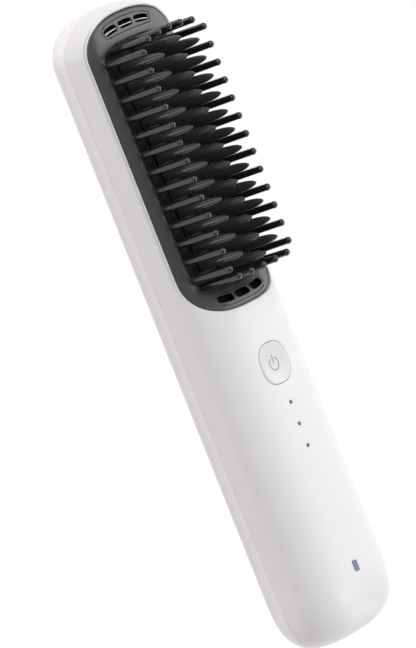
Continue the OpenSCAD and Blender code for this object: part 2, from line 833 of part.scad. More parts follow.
module switch_plunger() {
    color([0.35, 0.3, 0.25])
        drill(button_x, 0, board_top + plunger_floor + stem_gap + button_travel, plunger_top,
            plunger_r);
}

module main_board() {
    color([0.05, 0.3, 0.14]) difference() {
        block([board_back, board_front], [-board_width / 2, board_width / 2], [board_z, board_top]);
        for (p = board_screws_at) drill(p[0], p[1], board_z - over, board_top + over, screw_room_r);
    }
}

// Chips as shares of the board: middle along it, middle across it, length, width, height
chips = [[0.25, 0.25, 0.081, 0.233, 1], [0.398, 0.215, 0.058, 0.167, 0.85],
    [0.56, -0.25, 0.058, 0.167, 0.85], [0.852, -0.215, 0.058, 0.167, 1.3]];
module board_chips() {
    long = board_front - board_back;
    color([0.08, 0.08, 0.09]) for (c = chips) {
        x = board_front - c[0] * long;
        y = c[1] * board_width;
        block([x - c[2] * long / 2, x + c[2] * long / 2],
            [y - c[3] * board_width / 2, y + c[3] * board_width / 2],
            [board_top, board_top + c[4] * chip_height]);
    }
}

module board_screws() {
    color([0.6, 0.6, 0.62]) for (p = board_screws_at) {
        drill(p[0], p[1], board_z - screw_head, board_z, screw_head_r);
        drill(p[0], p[1], board_z, board_top + screw_grip, screw_r);
    }
}

module lamp(x) {
    color([0.9, 0.9, 0.7]) block([x - lamp_length / 2, x + lamp_length / 2],
        [-lamp_width / 2, lamp_width / 2], [board_top, board_top + lamp_height]);
}

module indicator_leds() {
    for (i = [0 : 2]) lamp(button_x - dot_setback - i * dot_pitch);
}

module light_guide() {
    bar_top = crown_z - wall - guide_gap;
    bar_bottom = bar_top - guide_bar;
    front = button_x - dot_setback;
    color([0.8, 0.82, 0.84]) {
        block([front - 2 * dot_pitch - guide_half, front + guide_half], [-guide_half, guide_half],
            [bar_bottom, bar_top]);
        for (i = [0 : 2]) {
            drill(front - i * dot_pitch, 0, board_top + lamp_height + board_gap, bar_bottom + join,
                guide_leg_r);
            drill(front - i * dot_pitch, 0, bar_top - join, crown_z - dot_fit, dot_diameter / 2);
        }
    }
}

module battery_led() {
    lamp(window_x);
}

module battery_window() {
    seat = crown_z - wall - guide_gap;
    color([0.42, 0.46, 0.62]) {
        translate([window_x, 0, seat - join]) linear_extrude(crown_z + dot_fit - seat + join)
            polygon(window_shape(0));
        block([window_x - window_length / 2 - window_flange, window_x + window_length / 2 + window_flange],
            [-window_width / 2 - window_flange / 2, window_width / 2 + window_flange / 2],
            [seat - window_seat, seat]);
    }
}

// A cell with its raised contact at the end that turn points it to
module cell(y, turn) {
    middle = (cell_front + cell_back) / 2;
    color([0.25, 0.55, 0.5]) translate([middle, y, cell_z]) rotate([0, 0, turn]) {
        along_x(-cell_length / 2, 0, 0, cell_length - cell_nub, cell_r);
        along_x(cell_length / 2 - cell_nub - join, 0, 0, cell_nub + join, cell_nub_r);
    }
}
module cell_left() cell(cell_y, 0);
module cell_right() cell(-cell_y, 180);

// End plate with a waisted spacer that keeps the two cells apart
module cell_bracket(x, inward) {
    face = x - inward * bracket_gap;
    reach = [face - inward * join, face + inward * spacer_length];
    shoulder = bracket_half - bracket_shoulder;
    color([0.2, 0.2, 0.22]) {
        translate([inward > 0 ? face - bracket_plate : face, 0, 0]) rotate([90, 0, 90])
            linear_extrude(bracket_plate) polygon([[-bracket_half, bracket_low + bracket_rise],
                [-shoulder, bracket_low], [shoulder, bracket_low],
                [bracket_half, bracket_low + bracket_rise], [bracket_half, bracket_top],
                [-bracket_half, bracket_top]]);
        difference() {
            block([min(reach), max(reach)], [-spacer_half, spacer_half],
                [wall + spacer_gap, board_z - spacer_gap]);
            for (y = [-cell_y, cell_y])
                along_x(min(face, reach[1] + inward), y, cell_z, spacer_length + 1,
                    cell_r + bracket_fit);
            block([min(face, x), max(face, x)], [-spacer_half - 1, spacer_half + 1],
                [cell_z - tab_height - spacer_gap, cell_z + tab_height + spacer_gap]);
        }
    }
}
module front_cell_bracket() cell_bracket(cell_front, -1);
module rear_cell_bracket() cell_bracket(cell_back, 1);

module cell_tabs() {
    front = cell_front + tab_gap;
    back = cell_back - tab_gap;
    color([0.75, 0.74, 0.7]) {
        for (y = [-cell_y, cell_y])
            block([front, front + tab_thickness], [y - tab_half, y + tab_half],
                [cell_z - tab_height, board_z]);
        block([back - tab_thickness, back], [-cell_y - tab_height, cell_y + tab_height],
            [cell_z - tab_height, cell_z + tab_height]);
    }
}

module battery_leads() {
    color([0.6, 0.08, 0.06]) for (y = [-battery_lead_y, battery_lead_y])
        drill(lead_x, y, charge_board_top, board_z, battery_lead_r);
}

module charge_board() {
    color([0.05, 0.3, 0.14]) block(charge_board_x, [-charge_board_half, charge_board_half],
        [charge_board_top - board_thickness, charge_board_top]);
}

// A flat-sided rounded bar along the body, as the charging socket's shell and its bore are
module socket_bar(start, length, grow) {
    reach = (socket_width - socket_height) / 2;
    r = socket_height / 2 + grow;
    for (y = [-reach, reach]) along_x(start, y, socket_z, length, r);
    block([start, start + length], [-reach, reach], [socket_z - r, socket_z + r]);
}

module charge_socket() {
    color([0.75, 0.75, 0.77]) {
        difference() {
            socket_bar(socket_mouth, socket_length, 0);
            socket_bar(socket_mouth - over, over + socket_length - socket_back, -socket_wall);
        }
        block([socket_mouth + socket_sink, socket_mouth + socket_length - socket_back + join],
            [-tongue_half, tongue_half], [socket_z - socket_wall, socket_z + socket_wall]);
    }
}

module terminal_block() {
    front = board_front - terminal_setback;
    color([0.85, 0.85, 0.82]) block([front - terminal_length, front],
        [-terminal_half, terminal_half], [board_z - terminal_height, board_z]);
}

module heater_leads() {
    start = board_front - terminal_setback;
    color([0.85, 0.85, 0.85]) for (y = [-lead_y, lead_y])
        along_x(start, y, lead_z, floor_tail + carrier_fit - start, lead_r);
}

module heat_shield() {
    color([0.78, 0.78, 0.76]) translate([0, 0, carrier_bottom - shield_thickness])
        linear_extrude(shield_thickness) polygon(floor_outline(-shield_margin));
}

front_shell();
rear_shell();
bezel();
head_vent_insert();
handle_vent_insert();
left_pin_strip();
right_pin_strip();
head_pin_arc();
handle_pin_arc();
heat_plate();
blade_strip_left();
blade_strip_middle();
blade_strip_right();
comb_carrier();
ceramic_heaters();
insulating_sheet();
clamp_plate();
thermal_fuse();
comb_screws();
air_guide();
power_button();
switch_body();
switch_plunger();
main_board();
board_chips();
board_screws();
indicator_leds();
light_guide();
battery_led();
battery_window();
cell_left();
cell_right();
front_cell_bracket();
rear_cell_bracket();
cell_tabs();
battery_leads();
charge_board();
charge_socket();
terminal_block();
heater_leads();
heat_shield();
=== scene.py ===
"""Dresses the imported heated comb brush: shells, comb panel, tines, button and inner parts.

Sizes are in millimetres and turned into metres when a mesh is finished. +X points to the head
end, +Z the way the comb points, and the brush lies on the flat land of its back.
"""

import logging
import math
from collections.abc import Callable, Sequence
from dataclasses import dataclass, field
from enum import Enum

import bmesh
import bpy
import numpy as np
from bmesh.types import BMEdge, BMesh, BMVert
from mathutils import Matrix, Vector


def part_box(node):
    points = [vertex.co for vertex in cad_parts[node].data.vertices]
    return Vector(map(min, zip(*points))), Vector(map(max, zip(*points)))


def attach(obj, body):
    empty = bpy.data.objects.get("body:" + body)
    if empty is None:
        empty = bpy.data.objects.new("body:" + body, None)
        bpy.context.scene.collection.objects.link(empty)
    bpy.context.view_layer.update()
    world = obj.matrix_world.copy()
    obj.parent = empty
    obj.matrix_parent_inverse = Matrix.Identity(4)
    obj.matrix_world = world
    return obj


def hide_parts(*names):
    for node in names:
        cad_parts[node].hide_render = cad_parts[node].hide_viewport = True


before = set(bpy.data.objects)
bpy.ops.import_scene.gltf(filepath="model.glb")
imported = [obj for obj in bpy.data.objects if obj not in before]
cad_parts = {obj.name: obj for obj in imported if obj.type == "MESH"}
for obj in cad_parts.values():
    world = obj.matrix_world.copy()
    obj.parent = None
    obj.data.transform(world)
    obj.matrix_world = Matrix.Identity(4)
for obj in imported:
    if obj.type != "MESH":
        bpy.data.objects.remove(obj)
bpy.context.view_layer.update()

log = logging.getLogger("brush")

MM = 0.001
Colour = tuple[float, float, float]
Point2 = tuple[float, float]
Point3 = tuple[float, float, float]
Place = Callable[[float, float, float], Vector]


# Shapes of the body and comb


def clamp(t: float) -> float:
    """A share kept between 0 and 1."""
    return min(1.0, max(0.0, t))


def falling(t: float, fullness: float) -> float:
    """Superellipse quarter: 1 at t 0, falling to 0 at t 1."""
    return (1 - clamp(t) ** fullness) ** (1 / fullness)


def mix(a: float, b: float, t: float) -> float:
    """Value a share t of the way from a to b."""
    return a + (b - a) * t


def signed_power(value: float, power: float) -> float:
    """Power of the size of a value, with its sign kept."""
    return math.copysign(abs(value) ** power, value)


def soft_min(a: float, b: float, width: float) -> float:
    """Smaller of two heights, blended over a width where they cross."""
    h = max(width - abs(a - b), 0.0) / width
    return min(a, b) - h * h * width / 4


def spread(start: float, *runs: tuple[float, int]) -> list[float]:
    """Grid lines from a start through a number of runs.

    Args:
        start: the first line.
        *runs: where each run ends, and its number of cells.

    Returns:
        The lines in order.
    """
    lines = [start]
    for end, cells in runs:
        lines += [mix(start, end, (k + 1) / cells) for k in range(cells)]
        start = end
    return lines


@dataclass(frozen=True)
class BodyForm:
    """Outer form of the two shells, as the part gives it.

    An end's cap is the length over which it narrows in plan, and its nose the length over which
    it falls in height. Each has its own power, whose name ends in m. The deck is the sloping
    plane over the comb. The port's reach runs to the middle of its round ends.
    """

    head: float = 109.0
    tail: float = -109.0
    tail_cut: float = -108.86
    half: float = 23.8
    part_z: float = 13.4
    front_height: float = 15.7
    rear_depth: float = 13.7
    front_fullness: float = 2.45
    rear_fullness: float = 2.25
    head_cap: float = 13.5
    head_cap_m: float = 1.8
    tail_cap: float = 19.5
    tail_cap_m: float = 3.2
    head_nose: float = 10.4
    head_nose_m: float = 3.5
    tail_nose: float = 20.5
    tail_nose_m: float = 2.3
    deck_start: float = 17.4
    deck_end: float = 105.8
    deck_fall: float = 6.0
    deck_blend: float = 1.5
    port_reach: float = 2.84
    port_radius: float = 1.88
    least_half: float = 0.01

    @property
    def crown_z(self) -> float:
        """Height of the front crown."""
        return self.part_z + self.front_height

    def plan(self, x: float, inset: float = 0.0) -> Point2:
        """Point of the parting outline at a station.

        Args:
            x: station along the uncut outline.
            inset: how far inside the outline the point lies.

        Returns:
            x and half width of the point.
        """
        if x > 0:
            t = (x - self.head + self.head_cap) / self.head_cap
            share = falling(t, self.head_cap_m)
        else:
            t = (self.tail + self.tail_cap - x) / self.tail_cap
            share = falling(t, self.tail_cap_m)
        pull = inset * max(0.0, t) * (-1 if x > 0 else 1)
        return x + pull, (self.half - inset) * share

    def nose(self, x: float) -> float:
        """Share of the full height that the body has at a station."""
        if x > 0:
            return falling((x - self.head + self.head_nose) / self.head_nose, self.head_nose_m)
        return falling((self.tail + self.tail_nose - x) / self.tail_nose, self.tail_nose_m)

    def deck(self, x: float) -> float:
        """Height of the sloping plane that cuts the head's crown."""
        run = self.deck_end - self.deck_start
        return self.crown_z - self.deck_fall * (x - self.deck_start) / run

    def share_across(self, x: float, y: float) -> float:
        """Share of the half width at which a point in plan lies."""
        return clamp(abs(y) / max(self.least_half, self.plan(x)[1]))

    def top(self, x: float, y: float) -> float:
        """Height of the finished front over a point in plan.

        Args:
            x: station of the point.
            y: how far it lies off the middle line.

        Returns:
            The height.
        """
        share = falling(self.share_across(x, y), self.front_fullness)
        return soft_min(self.part_z + self.front_height * self.nose(x) * share,
                        self.deck(x), self.deck_blend)

    def angle_at(self, x: float, y: float) -> float:
        """Section angle in degrees of the front surface over a point in plan.

        Args:
            x: station of the point.
            y: how far it lies off the middle line.

        Returns:
            The angle, from 0 on the +Y side to 180 on the -Y side.
        """
        share = self.share_across(x, y) ** (self.front_fullness / 2)
        angle = math.degrees(math.acos(share))
        return angle if y >= 0 else 180 - angle

    def port(self, turn: float, grow: float) -> Point2:
        """Point of one half of the charging port's outline.

        Args:
            turn: share of the way from the +Y side to the -Y side.
            grow: how far the outline is moved outwards.

        Returns:
            Distance off the middle line, and height off the parting.
        """
        r = self.port_radius + grow
        quarter = math.pi * r / 2
        s = turn * (2 * quarter + 2 * self.port_reach)
        if s < quarter:
            return self.port_reach + r * math.cos(s / r), r * math.sin(s / r)
        if s < quarter + 2 * self.port_reach:
            return self.port_reach - (s - quarter), r
        a = (s - quarter - 2 * self.port_reach) / r
        return -self.port_reach - r * math.sin(a), r * math.cos(a)


class End(Enum):
    """The two ends of the comb panel."""

    HEAD = 1
    HANDLE = -1


@dataclass(frozen=True)
class Oval:
    """Long oval outline with its own rounding at each end.

    Attributes:
        tail: station of the handle's end.
        head: station of the head's end.
        half: half width.
        tail_len: length of the rounding at the handle's end.
        head_len: length of the rounding at the head's end.
        tail_m: power of the rounding at the handle's end.
        head_m: power of the rounding at the head's end.
    """

    tail: float
    head: float
    half: float
    tail_len: float
    head_len: float
    tail_m: float
    head_m: float

    def grown(self, grow: float) -> "Oval":
        """The outline moved outwards by a distance."""
        return Oval(self.tail - grow, self.head + grow, self.half + grow, self.tail_len + grow,
                    self.head_len + grow, self.tail_m, self.head_m)

    def end_point(self, end: End, f: float) -> Point2:
        """Point of an end's arc, where f runs from -1 to 1 across it."""
        if end is End.HEAD:
            return self.head - self.head_len * (1 - falling(abs(f), self.head_m)), self.half * f
        return self.tail + self.tail_len * (1 - falling(abs(f), self.tail_m)), self.half * f

    def at(self, u: float) -> Point2:
        """Point round the outline.

        Args:
            u: 0 to 1 over the head's arc, 1 to 2 along the +Y side, 2 to 3 over the handle's
                arc, 3 to 4 back along the -Y side.

        Returns:
            x and y of the point.
        """
        part, t = int(u) % 4, u - int(u)
        if part == 0:
            return self.end_point(End.HEAD, 2 * t - 1)
        if part == 2:
            return self.end_point(End.HANDLE, 1 - 2 * t)
        start, stop = (End.HEAD, End.HANDLE) if part == 1 else (End.HANDLE, End.HEAD)
        f = 1.0 if part == 1 else -1.0
        a, b = self.end_point(start, f), self.end_point(stop, f)
        return mix(a[0], b[0], t), mix(a[1], b[1], t)

    def points(self, count: int) -> list[Point2]:
        """Dense points round the outline, closer together in the ends.

        Args:
            count: number of points.

        Returns:
            The points in order.
        """
        places = []
        for k in range(count):
            part, t = divmod(4 * k / count, 1)
            eased = 0.5 - 0.5 * math.cos(math.pi * t) if int(part) in (0, 2) else t
            places.append(self.at(int(part) + eased))
        return places


@dataclass(frozen=True)
class CombForm:
    """Outlines and heights of the comb panel, and how steeply its band rises or sinks."""

    body: BodyForm = BodyForm()
    opening: Oval = Oval(3.9, 105.8, 21.5, 17, 12, 3, 2.3)
    floor: Oval = Oval(12.2, 97.3, 17.6, 10, 10, 3.4, 3.4)
    window: Oval = Oval(15.4, 93.65, 12.3, 5, 5, 2.6, 2.6)
    gap: float = 0.1
    lip: float = 0.9
    floor_z: float = 23.3
    wall: float = 1.8
    rising: float = 1.8
    sinking: float = 2.2

    def height(self, rim: Point2, s: float) -> float:
        """Height of the panel between the rim and the floor.

        Args:
            rim: the point of the rim.
            s: share of the way to the floor.

        Returns:
            The height.
        """
        rim_z = self.body.top(*rim) - self.lip
        cove = 1 - (1 - s) ** self.rising if self.floor_z > rim_z else s**self.sinking
        return mix(rim_z, self.floor_z, cove)

    def band(self, u: float, s: float) -> Vector:
        """Point of the coved band between the rim and the floor.

        Args:
            u: place round the outlines.
            s: share of the way from the rim to the floor.

        Returns:
            The point.
        """
        rim = self.opening.grown(-self.gap).at(u)
        flat = self.floor.at(u)
        share = clamp(s)
        return Vector((mix(rim[0], flat[0], share), mix(rim[1], flat[1], share),
                       self.height(rim, share)))

    def turn_of(self, end: End, f: float) -> float:
        """Place round the outlines of a point a share f across an end."""
        return (f + 1) / 2 if end is End.HEAD else 2 + (1 - f) / 2


# Mesh helpers


# Distances in millimetres under which points are joined or a face is a sliver
WELD = 2e-4
POLE_WELD = 1e-4
SLIVER = 1e-5

# How far a point may lie off a block of faces, as a share of its side, or off its plane
BLOCK_SLACK = 1e-4
LEVEL_SLACK = 1e-6

Outline = Callable[[float], Sequence[Point2]]


def placed(name: str, data: bpy.types.ID) -> bpy.types.Object:
    """A new object of the scene that holds this data.

    Args:
        name: the object's name.
        data: its mesh, lamp or camera.

    Returns:
        The object.
    """
    made = bpy.data.objects.new(name, data)
    bpy.context.scene.collection.objects.link(made)
    return made


def next_ring(bm: BMesh, loop: Sequence[BMEdge]) -> tuple[set[BMVert], list[BMEdge]]:
    """Extrudes a loop of edges into a new ring.

    Args:
        bm: the mesh.
        loop: the edges.

    Returns:
        The new ring's vertices and its edges.
    """
    made = bmesh.ops.extrude_edge_only(bm, edges=loop)["geom"]
    fresh = {g for g in made if isinstance(g, BMVert)}
    return fresh, [g for g in made if isinstance(g, BMEdge) and all(v in fresh for v in g.verts)]


@dataclass
class Rim:
    """A loop of a sheet that is drawn into an outline and then rolled over and down.

    Attributes:
        block: lowest and highest grid lines round the loop, as (u0, u1, v0, v1).
        outline: gives the outline in the sheet's own coordinates, grown by a distance.
        profile: pairs of growth and drop that the rolled edge passes through.
        steps: rings between the block and the outline.
        cut: whether the faces inside the block are taken away.
    """

    block: tuple[float, float, float, float]
    outline: Outline
    profile: Sequence[Point2]
    steps: int = 4
    cut: bool = True

    def centre(self) -> Point2:
        """Middle of the block."""
        u0, u1, v0, v1 = self.block
        return (u0 + u1) / 2, (v0 + v1) / 2

    def turn(self, u: float, v: float) -> float:
        """Angle of a point round the block's middle, with the block stretched to a square."""
        u0, u1, v0, v1 = self.block
        mu, mv = self.centre()
        return math.atan2((v - mv) / (v1 - v0), (u - mu) / (u1 - u0))

    def track(self, grow: float) -> tuple[np.ndarray, np.ndarray, np.ndarray]:
        """Angles, u and v of the outline's points, sorted for interpolation."""
        rows = sorted((self.turn(u, v), u, v) for u, v in self.outline(grow))
        return tuple(np.array(column) for column in zip(*rows))


def rolled(radius: float, depth: float, inward: int = 1, steps: int = 5) -> list[Point2]:
    """Profile of a rounded edge that ends in a wall.

    Args:
        radius: radius of the rounding.
        depth: depth of the wall's foot under the surface.
        inward: 1 for a hole's edge and -1 for an outer border.
        steps: rings in the rounding.

    Returns:
        Pairs of growth and drop.
    """
    turns = [math.pi / 2 * k / steps for k in range(steps + 1)]
    arc = [(inward * radius * (1 - math.sin(a)), radius * (1 - math.cos(a))) for a in turns]
    return arc + [(0.0, mix(radius, depth, 0.5)), (0.0, depth)]


@dataclass
class Sheet:
    """A grid of faces with holes and a border, bent into place by a function.

    Attributes:
        u: grid lines one way.
        v: grid lines the other way.
        place: gives a point of the surface from u, v and a drop below it.
        rims: holes and borders.
        lined_below: depth below which the faces take the piece's second material.
    """

    u: Sequence[float]
    v: Sequence[float]
    place: Place
    rims: Sequence[Rim] = ()
    lined_below: float = math.inf

    def build(self) -> BMesh:
        """Makes the flat sheet with its rims, and bends it.

        Returns:
            The sheet, in millimetres.
        """
        bm = bmesh.new()
        nu, nv = len(self.u) - 1, len(self.v) - 1
        bmesh.ops.create_grid(bm, x_segments=nu, y_segments=nv, size=1)
        for vert in bm.verts:
            i = round((vert.co.x + 1) / 2 * nu)
            j = round((vert.co.y + 1) / 2 * nv)
            vert.co = (self.u[i], self.v[j], 0)
        turn = bm.verts.layers.float.new("turn")
        for rim in self.rims:
            self._roll(bm, rim, turn)
        for face in bm.faces:
            face.material_index = int(-face.calc_center_median().z > self.lined_below)
        for vert in bm.verts:
            vert.co = self.place(vert.co.x, vert.co.y, -vert.co.z)
        bmesh.ops.remove_doubles(bm, verts=bm.verts, dist=WELD)
        bmesh.ops.dissolve_degenerate(bm, dist=SLIVER, edges=bm.edges)
        return bm

    def _roll(self, bm: BMesh, rim: Rim, turn: object) -> None:
        """Opens a hole or takes the border, and draws its loop through the rim's rings.

        Args:
            bm: the flat sheet.
            rim: the hole or border.
            turn: layer that keeps each vertex's angle round the rim.
        """
        u0, u1, v0, v1 = rim.block
        slack_u, slack_v = BLOCK_SLACK * (u1 - u0), BLOCK_SLACK * (v1 - v0)

        def inside(co: Vector) -> bool:
            """Whether a point lies in the block."""
            return (u0 - slack_u < co.x < u1 + slack_u and v0 - slack_v < co.y < v1 + slack_v
                    and abs(co.z) < LEVEL_SLACK)

        if rim.cut:
            doomed = [f for f in bm.faces if inside(f.calc_center_median())]
            bmesh.ops.delete(bm, geom=doomed, context="FACES")
        loop = [e for e in bm.edges if len(e.link_faces) == 1
                and all(inside(v.co) for v in e.verts)]
        for vert in {v for e in loop for v in e.verts}:
            vert[turn] = rim.turn(vert.co.x, vert.co.y)
        first = rim.track(rim.profile[0][0])
        for k in range(rim.steps):
            loop = self._ring(bm, loop, turn, first, 1 / (rim.steps - k), None)
        for grow, drop in rim.profile[1:]:
            loop = self._ring(bm, loop, turn, rim.track(grow), 1.0, drop)

    @staticmethod
    def _ring(bm: BMesh, loop: list[BMEdge], turn: object, track: tuple, share: float,
              drop: float | None) -> list[BMEdge]:
        """Extrudes a loop and moves the new ring a share of the way to an outline.

        Args:
            bm: the flat sheet.
            loop: the edges of the last ring.
            turn: layer of the vertices' angles.
            track: angles, u and v of the outline.
            share: share of the way to the outline.
            drop: depth of the new ring, or None where it stays level.

        Returns:
            The edges of the new ring.
        """
        fresh, edges = next_ring(bm, loop)
        angles, us, vs = track
        for vert in fresh:
            u = float(np.interp(vert[turn], angles, us, period=2 * math.pi))
            v = float(np.interp(vert[turn], angles, vs, period=2 * math.pi))
            vert.co.x, vert.co.y = mix(vert.co.x, u, share), mix(vert.co.y, v, share)
            if drop is not None:
                vert.co.z = -drop
        return edges


def squircle(half_u: float, half_v: float, fullness: float, middle: Point2,
             count: int = 120) -> list[Point2]:
    """Points of a superellipse round a middle point.

    Args:
        half_u: half its size one way.
        half_v: half its size the other way.
        fullness: 2 for an ellipse, and more for a squarer form.
        middle: its middle point.
        count: number of points.

    Returns:
        The points in order.
    """
    points = []
    for k in range(count):
        a = 2 * math.pi * k / count
        points.append((middle[0] + half_u * signed_power(math.cos(a), 2 / fullness),
                       middle[1] + half_v * signed_power(math.sin(a), 2 / fullness)))
    return points


def turned(bm: BMesh, profile: Sequence[Point2], segments: int) -> None:
    """Spins a profile once round Z and closes its poles.

    Args:
        bm: the mesh that takes it.
        profile: radius and height of each point, from pole to pole.
        segments: faces round it.
    """
    chain = [bm.verts.new((r, 0, z)) for r, z in profile]
    edges = [bm.edges.new(pair) for pair in zip(chain, chain[1:])]
    bmesh.ops.spin(bm, geom=chain + edges, cent=(0, 0, 0), axis=(0, 0, 1), dvec=(0, 0, 0),
                   angle=2 * math.pi, steps=segments, use_merge=True, use_duplicate=False)
    bmesh.ops.remove_doubles(bm, verts=bm.verts, dist=POLE_WELD)


def slab(bm: BMesh, low: Sequence[float], high: Sequence[float], radius: float) -> None:
    """Adds a box between two corners with rounded edges.

    Args:
        bm: the mesh that takes it.
        low: the lowest corner.
        high: the highest corner.
        radius: radius of the edges.
    """
    made = bmesh.ops.create_cube(bm, size=1)["verts"]
    size = [b - a for a, b in zip(low, high)]
    middle = [(a + b) / 2 for a, b in zip(low, high)]
    bmesh.ops.scale(bm, vec=size, verts=made)
    bmesh.ops.translate(bm, vec=middle, verts=made)
    edges = list({e for v in made for e in v.link_edges})
    bmesh.ops.bevel(bm, geom=edges, offset=radius, offset_type="OFFSET", affect="EDGES",
                    segments=2, profile=0.5, material=-1)


def copies(bm: BMesh, source: BMesh, places: Sequence[Sequence[float]]) -> None:
    """Adds a copy of a small mesh at each place.

    Args:
        bm: the mesh that takes the copies.
        source: the small mesh.
        places: how far each copy is moved.
    """
    mesh = bpy.data.meshes.new("copy")
    source.to_mesh(mesh)
    for place in places:
        before = set(bm.verts)
        bm.from_mesh(mesh)
        fresh = [v for v in bm.verts if v not in before]
        bmesh.ops.translate(bm, vec=place, verts=fresh)
    bpy.data.meshes.remove(mesh)


def finished(bm: BMesh, name: str, material: bpy.types.Material, body: str,
             stands_for: Sequence[str] = (), flip: bool = False, recalculate: bool = True,
             second_finish: bpy.types.Material | None = None) -> bpy.types.Object:
    """Turns a mesh in millimetres into a dressed piece that rides on a body.

    Args:
        bm: the mesh, which is freed.
        name: the piece's name.
        material: its finish.
        body: CAD body that it rides on.
        stands_for: CAD nodes that it replaces.
        flip: whether the faces are turned over, for an open sheet.
        recalculate: whether the normals are worked out afresh, for a closed form.
        second_finish: second material, for the faces inside its holes.

    Returns:
        The new object.
    """
    bmesh.ops.scale(bm, vec=(MM, MM, MM), verts=bm.verts)
    if recalculate:
        bmesh.ops.recalc_face_normals(bm, faces=bm.faces)
    if flip:
        bmesh.ops.reverse_faces(bm, faces=bm.faces)
    for face in bm.faces:
        face.smooth = True
    mesh = bpy.data.meshes.new(name)
    bm.to_mesh(mesh)
    bm.free()
    mesh.materials.append(material)
    if second_finish:
        mesh.materials.append(second_finish)
    piece = placed(name, mesh)
    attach(piece, body)
    if stands_for:
        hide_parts(*stands_for)
    log.info("%s: %d faces", name, len(mesh.polygons))
    return piece


def thicken(piece: bpy.types.Object, wall: float, from_x: float) -> None:
    """Gives an open sheet a wall on its inner side.

    Args:
        piece: the sheet.
        wall: thickness of the wall, in millimetres.
        from_x: station behind which the wall has no thickness.
    """
    walled = piece.vertex_groups.new(name="walled")
    walled.add([v.index for v in piece.data.vertices if v.co.x > from_x * MM], 1.0, "REPLACE")
    solid = piece.modifiers.new("wall", "SOLIDIFY")
    solid.thickness = wall * MM
    solid.offset = -1
    solid.use_even_offset = False
    solid.vertex_group = walled.name
    solid.thickness_vertex_group = 0.0


# Finishes


class Wire:
    """A shader socket that takes part in sums."""

    def __init__(self, recipe: "Recipe", socket: bpy.types.NodeSocket) -> None:
        """Keeps the socket and the recipe that it belongs to."""
        self.recipe = recipe
        self.socket = socket

    def _math(self, operation: str, *values: object) -> "Wire":
        """A Math node on these values."""
        inputs = dict(enumerate(values))
        return self.recipe.node("ShaderNodeMath", {"operation": operation}, inputs)

    def __add__(self, other: object) -> "Wire":
        """Sum."""
        return self._math("ADD", self, other)

    def __sub__(self, other: object) -> "Wire":
        """Difference."""
        return self._math("SUBTRACT", self, other)

    def __mul__(self, other: object) -> "Wire":
        """Product."""
        return self._math("MULTIPLY", self, other)

    def __rsub__(self, other: object) -> "Wire":
        """Difference from a number."""
        return self._math("SUBTRACT", other, self)

    __radd__ = __add__
    __rmul__ = __mul__


class Recipe:
    """Node tree of a material or of the surroundings, with one shader at its end."""

    # Places of the Mix node's share, colours and mixed colour among its sockets
    SHARE, FIRST, SECOND, MIXED = 0, 6, 7, 2

    def __init__(self, owner: bpy.types.ID, shader: str = "Principled BSDF",
                 space: str = "Object") -> None:
        """Turns on the nodes and makes the coordinates.

        Args:
            owner: the material or world.
            shader: name of the shader at its end.
            space: coordinates that its patterns read.
        """
        owner.use_nodes = True
        self.owner = owner
        self.tree = owner.node_tree
        self.shader = self.tree.nodes[shader]
        self.spot = self.node("ShaderNodeTexCoord", {}, {}, space)

    def node(self, kind: str, settings: dict[str, object], inputs: dict[object, object],
             output: object = 0) -> Wire:
        """Adds a node.

        Args:
            kind: node type.
            settings: attributes, set first; "stops" fills a colour ramp.
            inputs: socket values or links, by name or index.
            output: the output that is returned.

        Returns:
            The output, ready for sums.
        """
        made = self.tree.nodes.new(kind)
        for key, value in settings.items():
            if key == "stops":
                ramp = made.color_ramp
                while len(ramp.elements) < len(value):
                    ramp.elements.new(0.5)
                for element, (place, colour) in zip(ramp.elements, value):
                    element.position, element.color = place, (*colour, 1)
            else:
                setattr(made, key, value)
        for key, value in inputs.items():
            self.feed(made.inputs[key], value)
        return Wire(self, made.outputs[output])

    def feed(self, socket: bpy.types.NodeSocket, value: object) -> None:
        """Sets a socket to a number or colour, or links it.

        Args:
            socket: the input.
            value: a number, a colour or an output.
        """
        if isinstance(value, Wire):
            self.tree.links.new(value.socket, socket)
        elif isinstance(value, tuple) and len(value) == 3 and socket.type == "RGBA":
            socket.default_value = (*value, 1)
        else:
            socket.default_value = value

    def put(self, name: str, value: object) -> None:
        """Sets or links an input of the shader at the end."""
        self.feed(self.shader.inputs[name], value)

    def noise(self, size: float, detail: float = 2.0, stretch: Point3 = (1, 1, 1)) -> Wire:
        """Cloudy noise.

        Args:
            size: size of its features, in millimetres.
            detail: finer noise in it.
            stretch: how much closer the features lie along X, Y and Z.

        Returns:
            The pattern, from 0 to 1.
        """
        spot = self.node("ShaderNodeMapping", {}, {"Vector": self.spot, "Scale": stretch})
        return self.node("ShaderNodeTexNoise", {},
                         {"Vector": spot, "Scale": 1 / (size * MM), "Detail": detail})

    def blend(self, share: object, a: object, b: object) -> Wire:
        """Colour a share of the way from a to b."""
        return self.node("ShaderNodeMix", {"data_type": "RGBA"},
                         {self.SHARE: share, self.FIRST: a, self.SECOND: b}, self.MIXED)

    def bump(self, height: Wire, depth: float) -> Wire:
        """Bump of a height pattern, with its depth in millimetres."""
        return self.node("ShaderNodeBump", {}, {"Height": height, "Distance": depth * MM})


def linear(value: float) -> float:
    """Scene value of a display value from 0 to 1, by the usual display curve."""
    return value / 12.92 if value <= 0.04045 else ((value + 0.055) / 1.055) ** 2.4


def tone(red: int, green: int, blue: int) -> Colour:
    """Scene colour of a display colour from 0 to 255."""
    return linear(red / 255), linear(green / 255), linear(blue / 255)


def dimmed(colour: Colour, share: float) -> Colour:
    """A colour brought down to a share of itself."""
    return tuple(level * share for level in colour)


